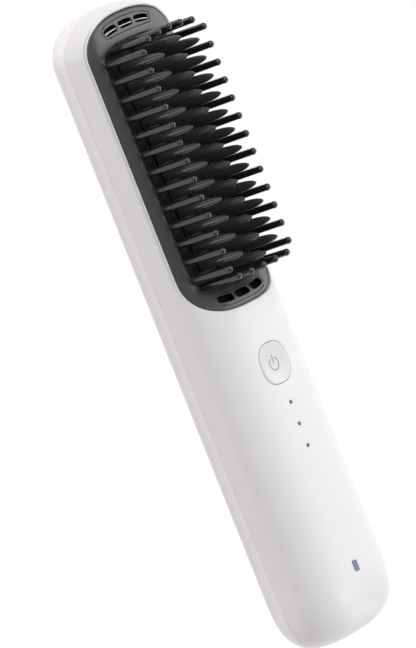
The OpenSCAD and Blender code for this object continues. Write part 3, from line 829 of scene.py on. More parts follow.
@dataclass(frozen=True)
class Plastic:
    """Moulded plastic with a fine grain and a slow drift in tint and gloss.

    Attributes:
        colour: main colour.
        roughness: middle roughness.
        grain: size of the moulding grain.
        depth: height of the grain.
        drift: how far the tint and the roughness wander.
        coat: strength of a clear gloss over it.
        specular: strength of the plain gloss.
        patch: size of the patches in which it drifts.
        speckle: how far the roughness follows the grain.
        coat_roughness: roughness of the clear gloss.
        coat_ior: index of refraction of the clear gloss.
    """

    colour: Colour
    roughness: float = 0.4
    grain: float = 0.5
    depth: float = 0.002
    drift: float = 0.04
    coat: float = 0.0
    specular: float = 0.5
    patch: float = 22.0
    speckle: float = 0.06
    coat_roughness: float = 0.07
    coat_ior: float = 1.7

    def dress(self, name: str) -> bpy.types.Material:
        """Makes the material.

        Args:
            name: the material's name.

        Returns:
            The material.
        """
        recipe = Recipe(bpy.data.materials.new(name))
        slow = recipe.noise(self.patch, 3.0)
        fine = recipe.noise(self.grain)
        dim = dimmed(self.colour, 1 - self.drift)
        recipe.put("Base Color", recipe.blend(slow, dim, self.colour))
        recipe.put("Roughness",
                   (slow - 0.5) * self.drift + (fine - 0.5) * self.speckle + self.roughness)
        recipe.put("Normal", recipe.bump(fine, self.depth))
        recipe.put("Coat Weight", self.coat)
        recipe.put("Coat Roughness", self.coat_roughness)
        recipe.put("Coat IOR", self.coat_ior)
        recipe.put("Specular IOR Level", self.specular)
        return recipe.owner


@dataclass(frozen=True)
class Metal:
    """Sheet or turned metal with drawn streaks and dull spots.

    Attributes:
        colour: colour of the metal.
        roughness: middle roughness.
        streak: stretch of the streaks along X, Y and Z.
        streak_size: width of a streak.
        streak_depth: depth of a streak.
        spot_size: size of the dull spots.
        spot_share: brightness of the dull spots.
    """

    colour: Colour
    roughness: float = 0.3
    streak: Point3 = (0.08, 1.0, 1.0)
    streak_size: float = 0.4
    streak_depth: float = 0.003
    spot_size: float = 6.0
    spot_share: float = 0.8

    def dress(self, name: str) -> bpy.types.Material:
        """Makes the material.

        Args:
            name: the material's name.

        Returns:
            The material.
        """
        recipe = Recipe(bpy.data.materials.new(name))
        drawn = recipe.noise(self.streak_size, 3.0, self.streak)
        spots = recipe.noise(self.spot_size, 4.0)
        dull = dimmed(self.colour, self.spot_share)
        recipe.put("Base Color", recipe.blend(spots, dull, self.colour))
        recipe.put("Metallic", 1.0)
        recipe.put("Roughness", (drawn - 0.5) * 0.2 + (spots - 0.5) * 0.1 + self.roughness)
        recipe.put("Normal", recipe.bump(drawn, self.streak_depth))
        return recipe.owner


@dataclass(frozen=True)
class Laminate:
    """Circuit board under a green mask, with copper tracks that show through it.

    Attributes:
        mask: colour between the tracks.
        track: colour over a track.
        pitch: distance between tracks.
        stagger: how far one row of tracks is set against the next.
        width: width of a track as a share of the pitch.
        relief: height of the tracks under the mask.
    """

    mask: Colour = (0.012, 0.11, 0.045)
    track: Colour = (0.03, 0.2, 0.08)
    pitch: float = 2.4
    stagger: float = 0.37
    width: float = 0.03
    relief: float = 0.02

    def dress(self, name: str) -> bpy.types.Material:
        """Makes the material.

        Args:
            name: the material's name.

        Returns:
            The material.
        """
        recipe = Recipe(bpy.data.materials.new(name))
        cells = recipe.node("ShaderNodeTexBrick", {"offset": self.stagger},
                            {"Vector": recipe.spot, "Scale": 1 / (self.pitch * MM),
                             "Color1": (0, 0, 0), "Color2": (0.2, 0.2, 0.2),
                             "Mortar": (1, 1, 1), "Mortar Size": self.width}, 1)
        cloth = recipe.noise(0.5)
        recipe.put("Base Color", recipe.blend(cells, self.mask, self.track))
        recipe.put("Roughness", cloth * 0.12 + 0.28)
        recipe.put("Normal", recipe.bump(cells + cloth * 0.3, self.relief))
        return recipe.owner


@dataclass(frozen=True)
class Sleeve:
    """Shrunk film over a battery cell, with faint wrinkles round it.

    Attributes:
        colour: main colour.
        wrinkle: size of a wrinkle.
        depth: height of a wrinkle.
        wrinkle_shade_share: brightness in a wrinkle's trough, painted shade.
        coat: strength of the film's gloss.
    """

    colour: Colour
    wrinkle: float = 5.0
    depth: float = 0.05
    wrinkle_shade_share: float = 0.82
    coat: float = 0.4

    def dress(self, name: str) -> bpy.types.Material:
        """Makes the material.

        Args:
            name: the material's name.

        Returns:
            The material.
        """
        recipe = Recipe(bpy.data.materials.new(name))
        folds = recipe.noise(self.wrinkle, 3.0, (0.6, 2.0, 2.0))
        # The wrinkles' troughs are darker: painted shade in the creases.
        wrinkle_shade = dimmed(self.colour, self.wrinkle_shade_share)
        recipe.put("Base Color", recipe.blend(folds, wrinkle_shade, self.colour))
        recipe.put("Roughness", folds * 0.15 + 0.25)
        recipe.put("Normal", recipe.bump(folds, self.depth))
        recipe.put("Coat Weight", self.coat)
        return recipe.owner


Finish = Plastic | Metal | Laminate | Sleeve

SHELL_WHITE = Plastic(tone(238, 237, 237), roughness=0.4, grain=0.35, depth=0.0012, drift=0.012)
# Rear shell: the front's white plastic made lighter and a little pink, as painted bounce light from
# the floor and a painted pink reflection.
SHELL_BACK_PAINTED_BOUNCE = Plastic(tone(251, 247, 248), roughness=0.4, grain=0.35, depth=0.0012, drift=0.012)
PANEL_GREY = Plastic(tone(60, 60, 61), roughness=0.4, grain=0.3, depth=0.004, drift=0.08,
                     specular=0.85)
TINE_BLACK = Plastic(tone(30, 30, 32), roughness=0.25, grain=0.6, depth=0.0001, drift=0.05,
                     specular=0.3, coat=0.6)
# Same black plastic as the pins, lifted to a lighter grey as painted light for the light the blades
# catch.
BLADE_BLACK_PAINTED_LIGHT = Plastic(tone(60, 60, 62), roughness=0.25, grain=0.6, depth=0.0001, drift=0.05,
                      specular=0.4, coat=0.9)
# Near-black floor between the tines and under the blade rails: painted shade for the shadow that
# falls among the tines.
FLOOR_PAINTED_SHADE = Plastic(tone(14, 14, 15), roughness=0.6, grain=0.4, depth=0.004, drift=0.08,
                      specular=0.25)
# Near black for the slots' deep walls and the sheet behind them: painted shade in the vents.
VENT_PAINTED_SHADE = Plastic(tone(6, 6, 7), roughness=0.8, grain=0.4, depth=0.004, drift=0.08,
                     specular=0.1)
GUIDE_WHITE = Plastic(tone(240, 240, 240), roughness=0.4, grain=0.4, depth=0.002)
BUTTON_WHITE = Plastic(tone(226, 227, 226), roughness=0.36, grain=0.3, depth=0.001, drift=0.01)
MARK_GREY = Plastic(tone(150, 150, 154), roughness=0.45, grain=0.2, depth=0.001)
SIGN_SLATE = Plastic(tone(62, 66, 84), roughness=0.4, grain=0.2, depth=0.001)


# Shells


@dataclass
class Shells:
    """The two white halves of the body, with their holes and the line between them.

    A hole's reach is half the length of the block of grid faces that its edge is drawn from.
    The port's lines are ways into the port. The tail's and the head's lines are where the lines
    that follow the caps begin and end, and the nose's are the last ones at the head.
    """

    form: BodyForm = field(default_factory=BodyForm)
    comb: CombForm = field(default_factory=CombForm)
    roll: float = 0.12
    flange: float = 1.2
    seam: float = 0.03
    least_angle: float = 0.45
    wall: float = 0.8
    wall_from: float = -108.3
    land_blend: float = 0.1
    lip: float = 0.7
    lip_depth: float = 4.5
    lip_steps: int = 6
    opening_block: tuple[float, float, float, float] = (1.0, 107.4, 20.0, 160.0)
    opening_points: int = 480
    button_x: float = -17.2
    button_half: float = 7.02
    button_fullness: float = 2.55
    button_reach: float = 8.4
    dots: tuple[float, ...] = (-30.8, -38.3, -45.8)
    dot_radius: float = 0.7
    dot_reach: float = 1.3
    window_x: float = -87.6
    window_half: Point2 = (1.86, 1.21)
    window_fullness: float = 6.0
    window_reach: float = 2.3
    port_face: float = 0.9
    port_turn: float = 0.1
    port_edge: float = 0.25
    port_lap: float = 0.3
    port_wall: float = 5.0
    port_lines: tuple[float, ...] = (2, 1.5, 1, 0.95, 0.9, 0.6, 0.3)
    cap_lines: int = 16
    tail_lines: Point2 = (-108.81, -91.0)
    head_lines: Point2 = (95.6, 107.0)
    nose_lines: tuple[float, ...] = (107.4, 107.9, 108.3, 108.6, 108.85, 108.97, 109.0)
    comb_lines_to: float = 95.5

    def build(self) -> None:
        """Makes both halves."""
        self.half("front_shell", self.front_place, self.holes(), SHELL_WHITE.dress("shell_white"),
                  True)
        # The rear half's lighter, pinker white is painted bounce light and a painted pink
        # reflection.
        self.half("rear_shell", self.rear_place, (), SHELL_BACK_PAINTED_BOUNCE.dress("shell_white_painted_bounce"), False)

    def half(self, node: str, place: Place, holes: Sequence[Rim], finish: bpy.types.Material,
             flip: bool) -> None:
        """Makes one half with its wall, in place of its CAD node.

        Args:
            node: the CAD node.
            place: gives the points of the skin.
            holes: the holes in it.
            finish: its finish.
            flip: whether its faces are turned over.
        """
        sheet = Sheet(self.stations(), self.section_lines(), place, holes)
        piece = finished(sheet.build(), f"{node}_skin", finish, "brush", [node],
                         flip=flip, recalculate=False)
        thicken(piece, self.wall, self.wall_from)

    def stations(self) -> list[float]:
        """Grid lines along the body, closer together at the ends and round the holes.

        Returns:
            The lines in order, from inside the port to the head.
        """
        f = self.form
        port = sorted(f.tail_cut - k for k in self.port_lines)
        turns = [math.pi / 2 * k / self.cap_lines for k in range(1, self.cap_lines)]
        tail = [f.tail + f.tail_cap * (1 - math.sin(a) ** (2 / f.tail_cap_m)) for a in turns]
        tail = [x for x in sorted(tail) if self.tail_lines[0] < x < self.tail_lines[1]]
        head = [f.head - f.head_cap * (1 - math.sin(a) ** (2 / f.head_cap_m)) for a in turns]
        head = [x for x in head if self.head_lines[0] < x < self.head_lines[1]]
        runs = [(self.window_x - self.window_reach, 1), (self.window_x + self.window_reach, 6)]
        for x, cells in zip(reversed(self.dots), (14, 2, 2)):
            runs += [(x - self.dot_reach, cells), (x + self.dot_reach, 4)]
        runs += [(self.button_x - self.button_reach, 2), (self.button_x + self.button_reach, 20),
                 (self.opening_block[0], 5), (self.comb_lines_to, 46)]
        middle = spread(self.tail_lines[1], *runs)
        return [*port, f.tail_cut, *tail, *middle, *head, *self.nose_lines]

    @staticmethod
    def section_lines() -> list[float]:
        """Section angles of the grid lines, with the parting edge beyond 0 and 180.

        Returns:
            The angles in order, in degrees.
        """
        half = [0, 0.9, 1.8, 3, 4.5, 6.5, 9, *range(12, 69, 4), 71, 74, 76, 78, 80, 82, 84, 86,
                88, 89, 90]
        return [-2, -1] + half + [180 - a for a in half[-2::-1]] + [181, 182]

    def section(self, x: float, a: float, side: int) -> Vector:
        """Point of one half's skin, before the deck or the land cuts it.

        Args:
            x: station; past the tail's end face it counts the way into the port.
            a: section angle in degrees, past 0 and 180 on the parting edge.
            side: 1 for the front half and -1 for the rear.

        Returns:
            The point.
        """
        f = self.form
        edge = max(-a, a - 180, 0)
        angle = math.radians(min(180 - self.least_angle, max(self.least_angle, a)))
        inset = self.roll * min(edge, 1) + self.flange * max(edge - 1, 0)
        m = f.front_fullness if side > 0 else f.rear_fullness
        height = (f.front_height if side > 0 else f.rear_depth) * f.nose(max(x, f.tail_cut))
        px, w = f.plan(max(x, f.tail_cut), inset)
        y = w * signed_power(math.cos(angle), 2 / m)
        z = f.part_z + side * height * abs(math.sin(angle)) ** (2 / m)
        if edge > 0:
            y, z = math.copysign(w, y), f.part_z + side * self.seam
        if x < f.tail_cut:
            return self.into_port((px, y, z), f.tail_cut - x, a, side)
        return Vector((px, y, z))

    def into_port(self, rim: Point3, k: float, a: float, side: int) -> Vector:
        """Carries a point of the end face's rim towards and into the charging port.

        Args:
            rim: the point on the rim.
            k: the way into the port: over the face as far as port_face, then round the port's
                edge as far as 1, then down its wall.
            a: section angle in degrees.
            side: 1 for the front half and -1 for the rear.

        Returns:
            The point.
        """
        f = self.form
        y, z = f.port(clamp(a / 180), self.port_edge * clamp((1 - k) / self.port_turn))
        y += math.copysign(self.port_lap * max(-a, a - 180, 0), y)
        z = f.part_z + side * max(self.seam, z)
        share = min(1.0, k / self.port_face)
        x = mix(rim[0], f.tail_cut, share)
        x += self.port_edge * clamp((k - self.port_face) / self.port_turn)
        x += self.port_wall * max(0.0, k - 1)
        return Vector((x, mix(rim[1], y, share), mix(rim[2], z, share)))

    def front_place(self, x: float, a: float, drop: float) -> Vector:
        """Point of the front skin.

        Args:
            x: station.
            a: section angle in degrees.
            drop: depth under the skin.

        Returns:
            The point.
        """
        point = self.section(x, a, 1)
        if 0 <= a <= 180:
            point.z = soft_min(point.z, self.form.deck(point.x), self.form.deck_blend)
        point.z -= drop
        return point

    def rear_place(self, x: float, a: float, drop: float) -> Vector:
        """Point of the rear skin, which ends in the flat rest land.

        The blend leaves the land a quarter of its width high, and that comes off again.

        Args:
            x: station.
            a: section angle in degrees.
            drop: not used, because the rear has no holes.

        Returns:
            The point.
        """
        point = self.section(x, a, -1)
        point.z = -soft_min(-point.z, 0, self.land_blend)
        if point.z < 2 * self.land_blend:
            point.z = max(0.0, point.z - self.land_blend / 4)
        return point

    def on_surface(self, points: Sequence[Point2]) -> list[Point2]:
        """An outline in plan as stations and section angles."""
        return [(x, self.form.angle_at(x, y)) for x, y in points]

    def hole(self, x: float, half: Point2, fullness: float, reach: Point2,
             edge: Sequence[Point2], count: int) -> Rim:
        """A hole on the middle line.

        Args:
            x: station of its middle.
            half: its half length and half width.
            fullness: how square its outline is.
            reach: half the length of the block round it, and half the block's angle in degrees.
            edge: profile of its edge.
            count: points of its outline.

        Returns:
            The hole's rim.
        """
        return Rim((x - reach[0], x + reach[0], 90 - reach[1], 90 + reach[1]),
                   lambda g: self.on_surface(squircle(half[0] + g, half[1] + g, fullness, (x, 0.0),
                                                      count)),
                   edge, steps=2)

    def holes(self) -> list[Rim]:
        """The comb opening, the button's hole, the battery window's and those of the dots.

        Returns:
            A rim for each hole.
        """
        opening = Rim(self.opening_block,
                      lambda g: self.on_surface(self.comb.opening.grown(g)
                                                .points(self.opening_points)),
                      rolled(self.lip, self.lip_depth, steps=self.lip_steps), self.lip_steps)
        button = self.hole(self.button_x, (self.button_half, self.button_half),
                           self.button_fullness, (self.button_reach, 16), rolled(0.3, 2.5), 120)
        window = self.hole(self.window_x, self.window_half, self.window_fullness,
                           (self.window_reach, 2), rolled(0.1, 1.0, steps=3), 64)
        dots = [self.hole(x, (self.dot_radius, self.dot_radius), 2, (self.dot_reach, 2),
                          rolled(0.12, 1.0, steps=3), 32) for x in self.dots]
        return [opening, button, window, *dots]


# Comb panel


@dataclass
class CombPanel:
    """The dark coved panel, with a vent pad let into each end.

    Across an end f runs from -1 to 1, and s is the share of the band from its rim, at 0, to the
    floor, at 1. Below 0 lies the skirt, from 1 to 2 the floor, and past 2 the window's wall.
    A scale turns a growth in millimetres into one of f and of s.
    """

    form: CombForm = field(default_factory=CombForm)
    skirt: float = 2.2
    edge_s: float = 0.06
    edge_drop: float = 0.12
    shade_sheet_edge: float = 1.16
    shade_sheet_step: float = 0.2
    shade_sheet_drop: float = 0.04
    corner: float = 5.0
    pad_middles: tuple[float, float] = (0.5, 0.47)
    pad_half_f: float = 0.615
    pad_half_s: float = 0.29
    pad_scale: Point2 = (0.06, 0.085)
    pad_drop: float = 0.05
    pad_block: Point2 = (0.6, 0.255)
    pocket_scale: Point2 = (0.06, 0.084)
    pocket_f: float = 0.68
    pocket_s: Point2 = (0.14, 0.84)
    outline_points: int = 240
    slots: tuple[float, ...] = (-0.405, 0.0, 0.405)
    slot_half_f: float = 0.17
    slot_half_s: float = 0.15
    slot_scale: Point2 = (0.05, 0.07)
    slot_block: Point2 = (0.186, 0.175)
    slot_corner: float = 4.0
    second_finish_drop: float = 0.3
    shade_screen_drop: float = 1.6
    shade_screen_margin: float = 0.02
    shade_screen_half_s: float = 0.18
    shade_screen_wall: float = 0.3
    guide_half_f: float = 0.58
    guide_drop: float = 2.2
    fin_drop: float = 0.2
    fin_height: float = 1.6
    fin_half_f: float = 0.16
    fin_share: float = 0.53
    fin_thick: float = 0.26

    def build(self) -> None:
        """Makes the panel and both pads."""
        finish = PANEL_GREY.dress("panel_grey")
        edge = self.shade_sheet_edge
        lines = [-1, -0.5, -self.edge_s, 0, 0.05, 0.1, 0.14, 0.22, 0.3, 0.38, 0.46, 0.54, 0.62,
                 0.7, 0.78, 0.84, 0.9, 0.95, 1.0, edge - 0.08, edge, edge + 0.001]
        panel = Sheet(self.turns(), lines, self.place, [self.pocket(end) for end in End])
        finished(panel.build(), "comb_panel", finish, "brush", ["bezel"],
                 recalculate=False)
        # The black floor sheet inside the pin columns is painted shade for the shadow between the
        # tines.
        shade_sheet = Sheet(self.turns(), [edge - 0.03, edge + 0.02, 1.4, 1.7, 1.97, 2.0, 2.06, 2.5, 3.0],
                      self.place_shade_sheet)
        finished(shade_sheet.build(), "comb_floor", FLOOR_PAINTED_SHADE.dress("floor_painted_shade"), "brush",
                 recalculate=False)
        # The slots' deep walls and the sheets behind them take painted shade.
        second_finish = VENT_PAINTED_SHADE.dress("vent_painted_shade")
        for end in End:
            self.pad(end, finish, second_finish)
            self.shade_screen(end, second_finish)
        self.guide()

    def turns(self) -> list[float]:
        """Grid lines round the panel.

        Returns:
            The lines in order, as places round the outlines.
        """
        pocket = self.pocket_f
        across = spread(-1, (-0.96, 2), (-pocket, 6), (pocket, 28), (0.96, 6), (1, 2))
        arc = [(round(f, 4) + 1) / 2 for f in across]
        side = [k / 24 for k in range(1, 24)]
        return arc + [1 + t for t in side] + [2 + t for t in arc] + [3 + t for t in side] + [4.0]

    def place(self, u: float, s: float, drop: float) -> Vector:
        """Point of the panel: skirt, coved band, flat floor and the wall of its window.

        Args:
            u: place round the outlines.
            s: place from the rim inwards.
            drop: depth under the surface.

        Returns:
            The point.
        """
        f = self.form
        u = u % 4
        if s <= 1:
            point = f.band(u, s)
            point.z += self.skirt * min(0.0, s)
            if -self.edge_s <= s <= 0:
                point.z -= self.edge_drop
        else:
            a, b = f.floor.at(u), f.window.at(u)
            t = min(1.0, s - 1)
            point = Vector((mix(a[0], b[0], t), mix(a[1], b[1], t), f.floor_z))
            point.z -= f.wall * max(0.0, s - 2)
            if self.shade_sheet_edge < s < self.shade_sheet_edge + 0.01:
                drop += self.shade_sheet_step
        point.z -= drop
        return point

    def place_shade_sheet(self, u: float, s: float, drop: float) -> Vector:
        """Point of the black floor, a sheet of painted shade between the tines, which lies a hair
        under the panel's edge.
        """
        return self.place(u, s, drop) - Vector((0, 0, self.shade_sheet_drop))

    def place_under(self, end: End, depth: float) -> Place:
        """Lays a sheet under an end of the band.

        Args:
            end: the end of the panel.
            depth: how far under the band the sheet lies.

        Returns:
            What gives the sheet's points from f, s and a drop.
        """

        def place(f: float, s: float, drop: float) -> Vector:
            """Point of the sheet."""
            point = self.form.band(self.form.turn_of(end, f), s)
            point.z -= depth + drop
            return point

        return place

    def pad_middle(self, end: End) -> float:
        """Share of the band at the middle of a pad."""
        return self.pad_middles[0 if end is End.HEAD else 1]

    def pad_outline(self, end: End, grow: float, scale: Point2) -> list[Point2]:
        """Outline of a pad in f and s, grown by a distance.

        Args:
            end: the end of the panel.
            grow: how far it is moved outwards, in millimetres.
            scale: f and s for each millimetre.

        Returns:
            The points in order.
        """
        return squircle(self.pad_half_f + grow * scale[0], self.pad_half_s + grow * scale[1],
                        self.corner, (0.0, self.pad_middle(end)), self.outline_points)

    def pocket(self, end: End) -> Rim:
        """The pocket that a pad sits in, which meets the pad in a shallow groove.

        Args:
            end: the end of the panel.

        Returns:
            The pocket's rim.
        """
        turns = [self.form.turn_of(end, f) for f in (-self.pocket_f, self.pocket_f)]
        return Rim((min(turns), max(turns), *self.pocket_s),
                   lambda g: [(self.form.turn_of(end, f), s)
                              for f, s in self.pad_outline(end, g, self.pocket_scale)],
                   rolled(0.24, 1.3, steps=3), steps=2)

    def pad(self, end: End, finish: bpy.types.Material, second_finish: bpy.types.Material) -> None:
        """Makes one vent pad with three slots, let into the band.

        Args:
            end: the end of the panel.
            finish: the pad's finish.
            second_finish: finish inside the slots, near black as painted shade.
        """
        mid = self.pad_middle(end)
        edge, reach = self.pad_block
        wide, tall = self.slot_block
        near, far = self.slots[2] - wide, self.slots[2] + wide
        lines_f = spread(-edge, (-far, 1), (-near, 10), (-wide, 2), (wide, 10), (near, 2),
                         (far, 10), (edge, 1))
        lines_s = spread(mid - reach, (mid - tall, 2), (mid + tall, 8), (mid + reach, 2))
        slots = [Rim((c - wide, c + wide, mid - tall, mid + tall),
                     lambda g, c=c: squircle(self.slot_half_f + g * self.slot_scale[0],
                                             self.slot_half_s + g * self.slot_scale[1],
                                             self.slot_corner, (c, mid)),
                     rolled(0.16, 2.0, steps=4), steps=1) for c in self.slots]
        border = Rim((-edge, edge, mid - reach, mid + reach),
                     lambda g: self.pad_outline(end, g, self.pad_scale),
                     rolled(0.25, 1.1, inward=-1, steps=4), steps=1, cut=False)
        # Faces deeper than this drop take the near-black finish: painted shade in the slots.
        sheet = Sheet(lines_f, lines_s, self.place_under(end, self.pad_drop), [*slots, border],
                      self.second_finish_drop)
        name = end.name.lower()
        finished(sheet.build(), f"{name}_vent_pad", finish, "brush",
                 [f"{name}_vent_insert"], recalculate=False, flip=end is End.HANDLE,
                 second_finish=second_finish)

    def shade_screen(self, end: End, finish: bpy.types.Material) -> None:
        """Makes the black sheet behind the slots of one end, painted shade that darkens the slots.

        Args:
            end: the end of the panel.
            finish: the sheet's finish, near black as painted shade.
        """
        mid, tall = self.pad_middle(end), self.shade_screen_half_s
        reach = self.slots[2] + self.slot_half_f + self.shade_screen_margin
        sheet = Sheet(spread(-reach, (reach, 40)), spread(mid - tall, (mid + tall, 3)),
                      self.place_under(end, self.shade_screen_drop))
        piece = finished(sheet.build(), f"{end.name.lower()}_vent_shade_screen", finish, "brush",
                         recalculate=False, flip=end is End.HANDLE)
        thicken(piece, self.shade_screen_wall, self.form.body.tail)

    def guide(self) -> None:
        """Pale wall behind the head's vents, with a thin fin that rises into each slot."""
        low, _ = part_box("air_guide")
        wall = self.wall_at(-self.guide_half_f, self.guide_half_f, 48, self.guide_drop,
                            low[2] / MM)
        for c in self.slots:
            fin = self.wall_at(c - self.fin_half_f, c + self.fin_half_f, 24, self.fin_drop)
            copies(wall, fin, [(0.0, 0.0, 0.0)])
            fin.free()
        finished(wall, "vent_air_guide", GUIDE_WHITE.dress("air_guide_white"), "brush",
                 ["air_guide"])

    def wall_at(self, f0: float, f1: float, cells: int, drop: float,
                foot: float | None = None) -> BMesh:
        """An upright curved wall under the head's band.

        Args:
            f0: where across the end it starts.
            f1: where it ends.
            cells: faces along it.
            drop: how far its top lies under the band.
            foot: height of its foot, or None for a fin of the usual height.

        Returns:
            The wall, in millimetres.
        """
        bm = bmesh.new()
        bmesh.ops.create_grid(bm, x_segments=cells, y_segments=1, size=1)
        for vert in bm.verts:
            f = mix(f0, f1, (vert.co.x + 1) / 2)
            point = self.form.band(self.form.turn_of(End.HEAD, f), self.fin_share)
            top = point.z - drop
            bottom = top - self.fin_height if foot is None else foot
            vert.co = (point.x, point.y, top if vert.co.y > 0 else bottom)
        bm.normal_update()
        bmesh.ops.solidify(bm, geom=bm.faces[:], thickness=self.fin_thick)
        bmesh.ops.recalc_face_normals(bm, faces=bm.faces)
        return bm


# Tines


@dataclass(frozen=True)
class PinArc:
    """Curved row of guard pins across one end of the comb.

    Attributes:
        end: the end that it stands at.
        reach: how far its middle lies beyond the last row of the columns.
        bow: how far it bends back, for each square millimetre across.
        step: distance from pin to pin across the comb.
    """

    end: End
    reach: float
    bow: float
    step: float


@dataclass
class GuardPins:
    """Black pins with ball tips, in a column on each side and an arc across each end.

    The root, neck and ball are radii, and the fillet is a width, with flare its height to width.
    """

    floor_z: float = 23.3
    strip_low: float = 20.3
    strip_high: float = 21.5
    strip_half: float = 1.3
    strip_edge: float = 0.2
    root: float = 1.3
    root_lift: float = 0.4
    root_sink: float = 0.05
    neck: float = 1.15
    neck_drop: float = 0.9
    ball: float = 1.2
    fillet: float = 0.15
    flare: float = 1.3
    top: float = 40.75
    first_x: float = 91.2
    pitch: float = 6.15
    rows: int = 13
    column: float = 15.7
    arcs: tuple[PinArc, ...] = (PinArc(End.HEAD, 4.45, 0.0077, 5.75),
                                PinArc(End.HANDLE, 3.56, 0.0023, 6.4))
    arc_pins: int = 5
    arc_cuts: int = 11
    segments: int = 20

    @property
    def last_x(self) -> float:
        """Station of the columns' last row."""
        return self.first_x - (self.rows - 1) * self.pitch

    def pin(self) -> BMesh:
        """One pin at the origin, with a fillet at its root and a ball on its neck.

        Returns:
            The pin, in millimetres.
        """
        bm = bmesh.new()
        ball_z = self.top - self.ball
        shaft_z = self.floor_z + self.flare * self.fillet
        flare = [(self.root + self.fillet * (1 - math.sin(a)),
                  self.floor_z + self.flare * self.fillet * (1 - math.cos(a)))
                 for a in (0.0, 0.3, 0.6, 0.9, 1.2, math.pi / 2)]
        shaft = [(mix(self.root, self.neck, t), mix(shaft_z, ball_z - self.neck_drop, t))
                 for t in (0.25, 0.5, 0.75, 1)]
        ball = [(self.ball * math.cos(a), ball_z + self.ball * math.sin(a))
                for a in [math.radians(d) for d in range(-14, 90, 13)]]
        foot_z = self.strip_low + self.root_lift
        profile = [(0.0, foot_z), (self.root, foot_z), (self.root, self.floor_z - self.root_sink),
                   *flare, *shaft, *ball, (0.0, self.top)]
        turned(bm, profile, self.segments)
        return bm

    def arc_x(self, arc: PinArc, y: float) -> float:
        """Station of an end arc over a point across the comb."""
        row = self.first_x if arc.end is End.HEAD else self.last_x
        return row + arc.end.value * (arc.reach - arc.bow * y * y)

    def build(self) -> None:
        """Makes the two columns and the two arcs."""
        finish = TINE_BLACK.dress("tine_black")
        for side, name in ((1, "left"), (-1, "right")):
            bm = bmesh.new()
            y, half = side * self.column, self.strip_half
            slab(bm, (self.last_x - half, y - half, self.strip_low),
                 (self.first_x + half, y + half, self.strip_high), self.strip_edge)
            self.stand(bm, [(self.first_x - i * self.pitch, y) for i in range(self.rows)])
            finished(bm, f"{name}_guard_pins", finish, "brush",
                     [f"{name}_pin_strip"])
        for arc in self.arcs:
            bm = self.bar(arc)
            ys = [(k - (self.arc_pins - 1) / 2) * arc.step for k in range(self.arc_pins)]
            self.stand(bm, [(self.arc_x(arc, y), y) for y in ys])
            name = arc.end.name.lower()
            finished(bm, f"{name}_guard_pins", finish, "brush",
                     [f"{name}_pin_arc"])

    def bar(self, arc: PinArc) -> BMesh:
        """The curved strip under an end's pins.

        Args:
            arc: the row of pins.

        Returns:
            The strip, in millimetres.
        """
        bm = bmesh.new()
        reach = (self.arc_pins - 1) / 2 * arc.step + self.strip_half
        made = bmesh.ops.create_cube(bm, size=1)["verts"]
        bmesh.ops.scale(bm, vec=(2 * self.strip_half, 2 * reach,
                                 self.strip_high - self.strip_low), verts=made)
        long_edges = [e for e in bm.edges if abs((e.verts[0].co - e.verts[1].co).y) > reach]
        bmesh.ops.subdivide_edges(bm, edges=long_edges, cuts=self.arc_cuts, use_grid_fill=True)
        middle = (self.strip_low + self.strip_high) / 2
        for vert in bm.verts:
            vert.co.x += self.arc_x(arc, vert.co.y)
            vert.co.z += middle
        return bm

    def stand(self, bm: BMesh, places: Sequence[Point2]) -> None:
        """Stands a pin on each place.

        Args:
            bm: the mesh that takes the pins.
            places: the pins' places in plan.
        """
        pin = self.pin()
        copies(bm, pin, [(x, y, 0.0) for x, y in places])
        pin.free()


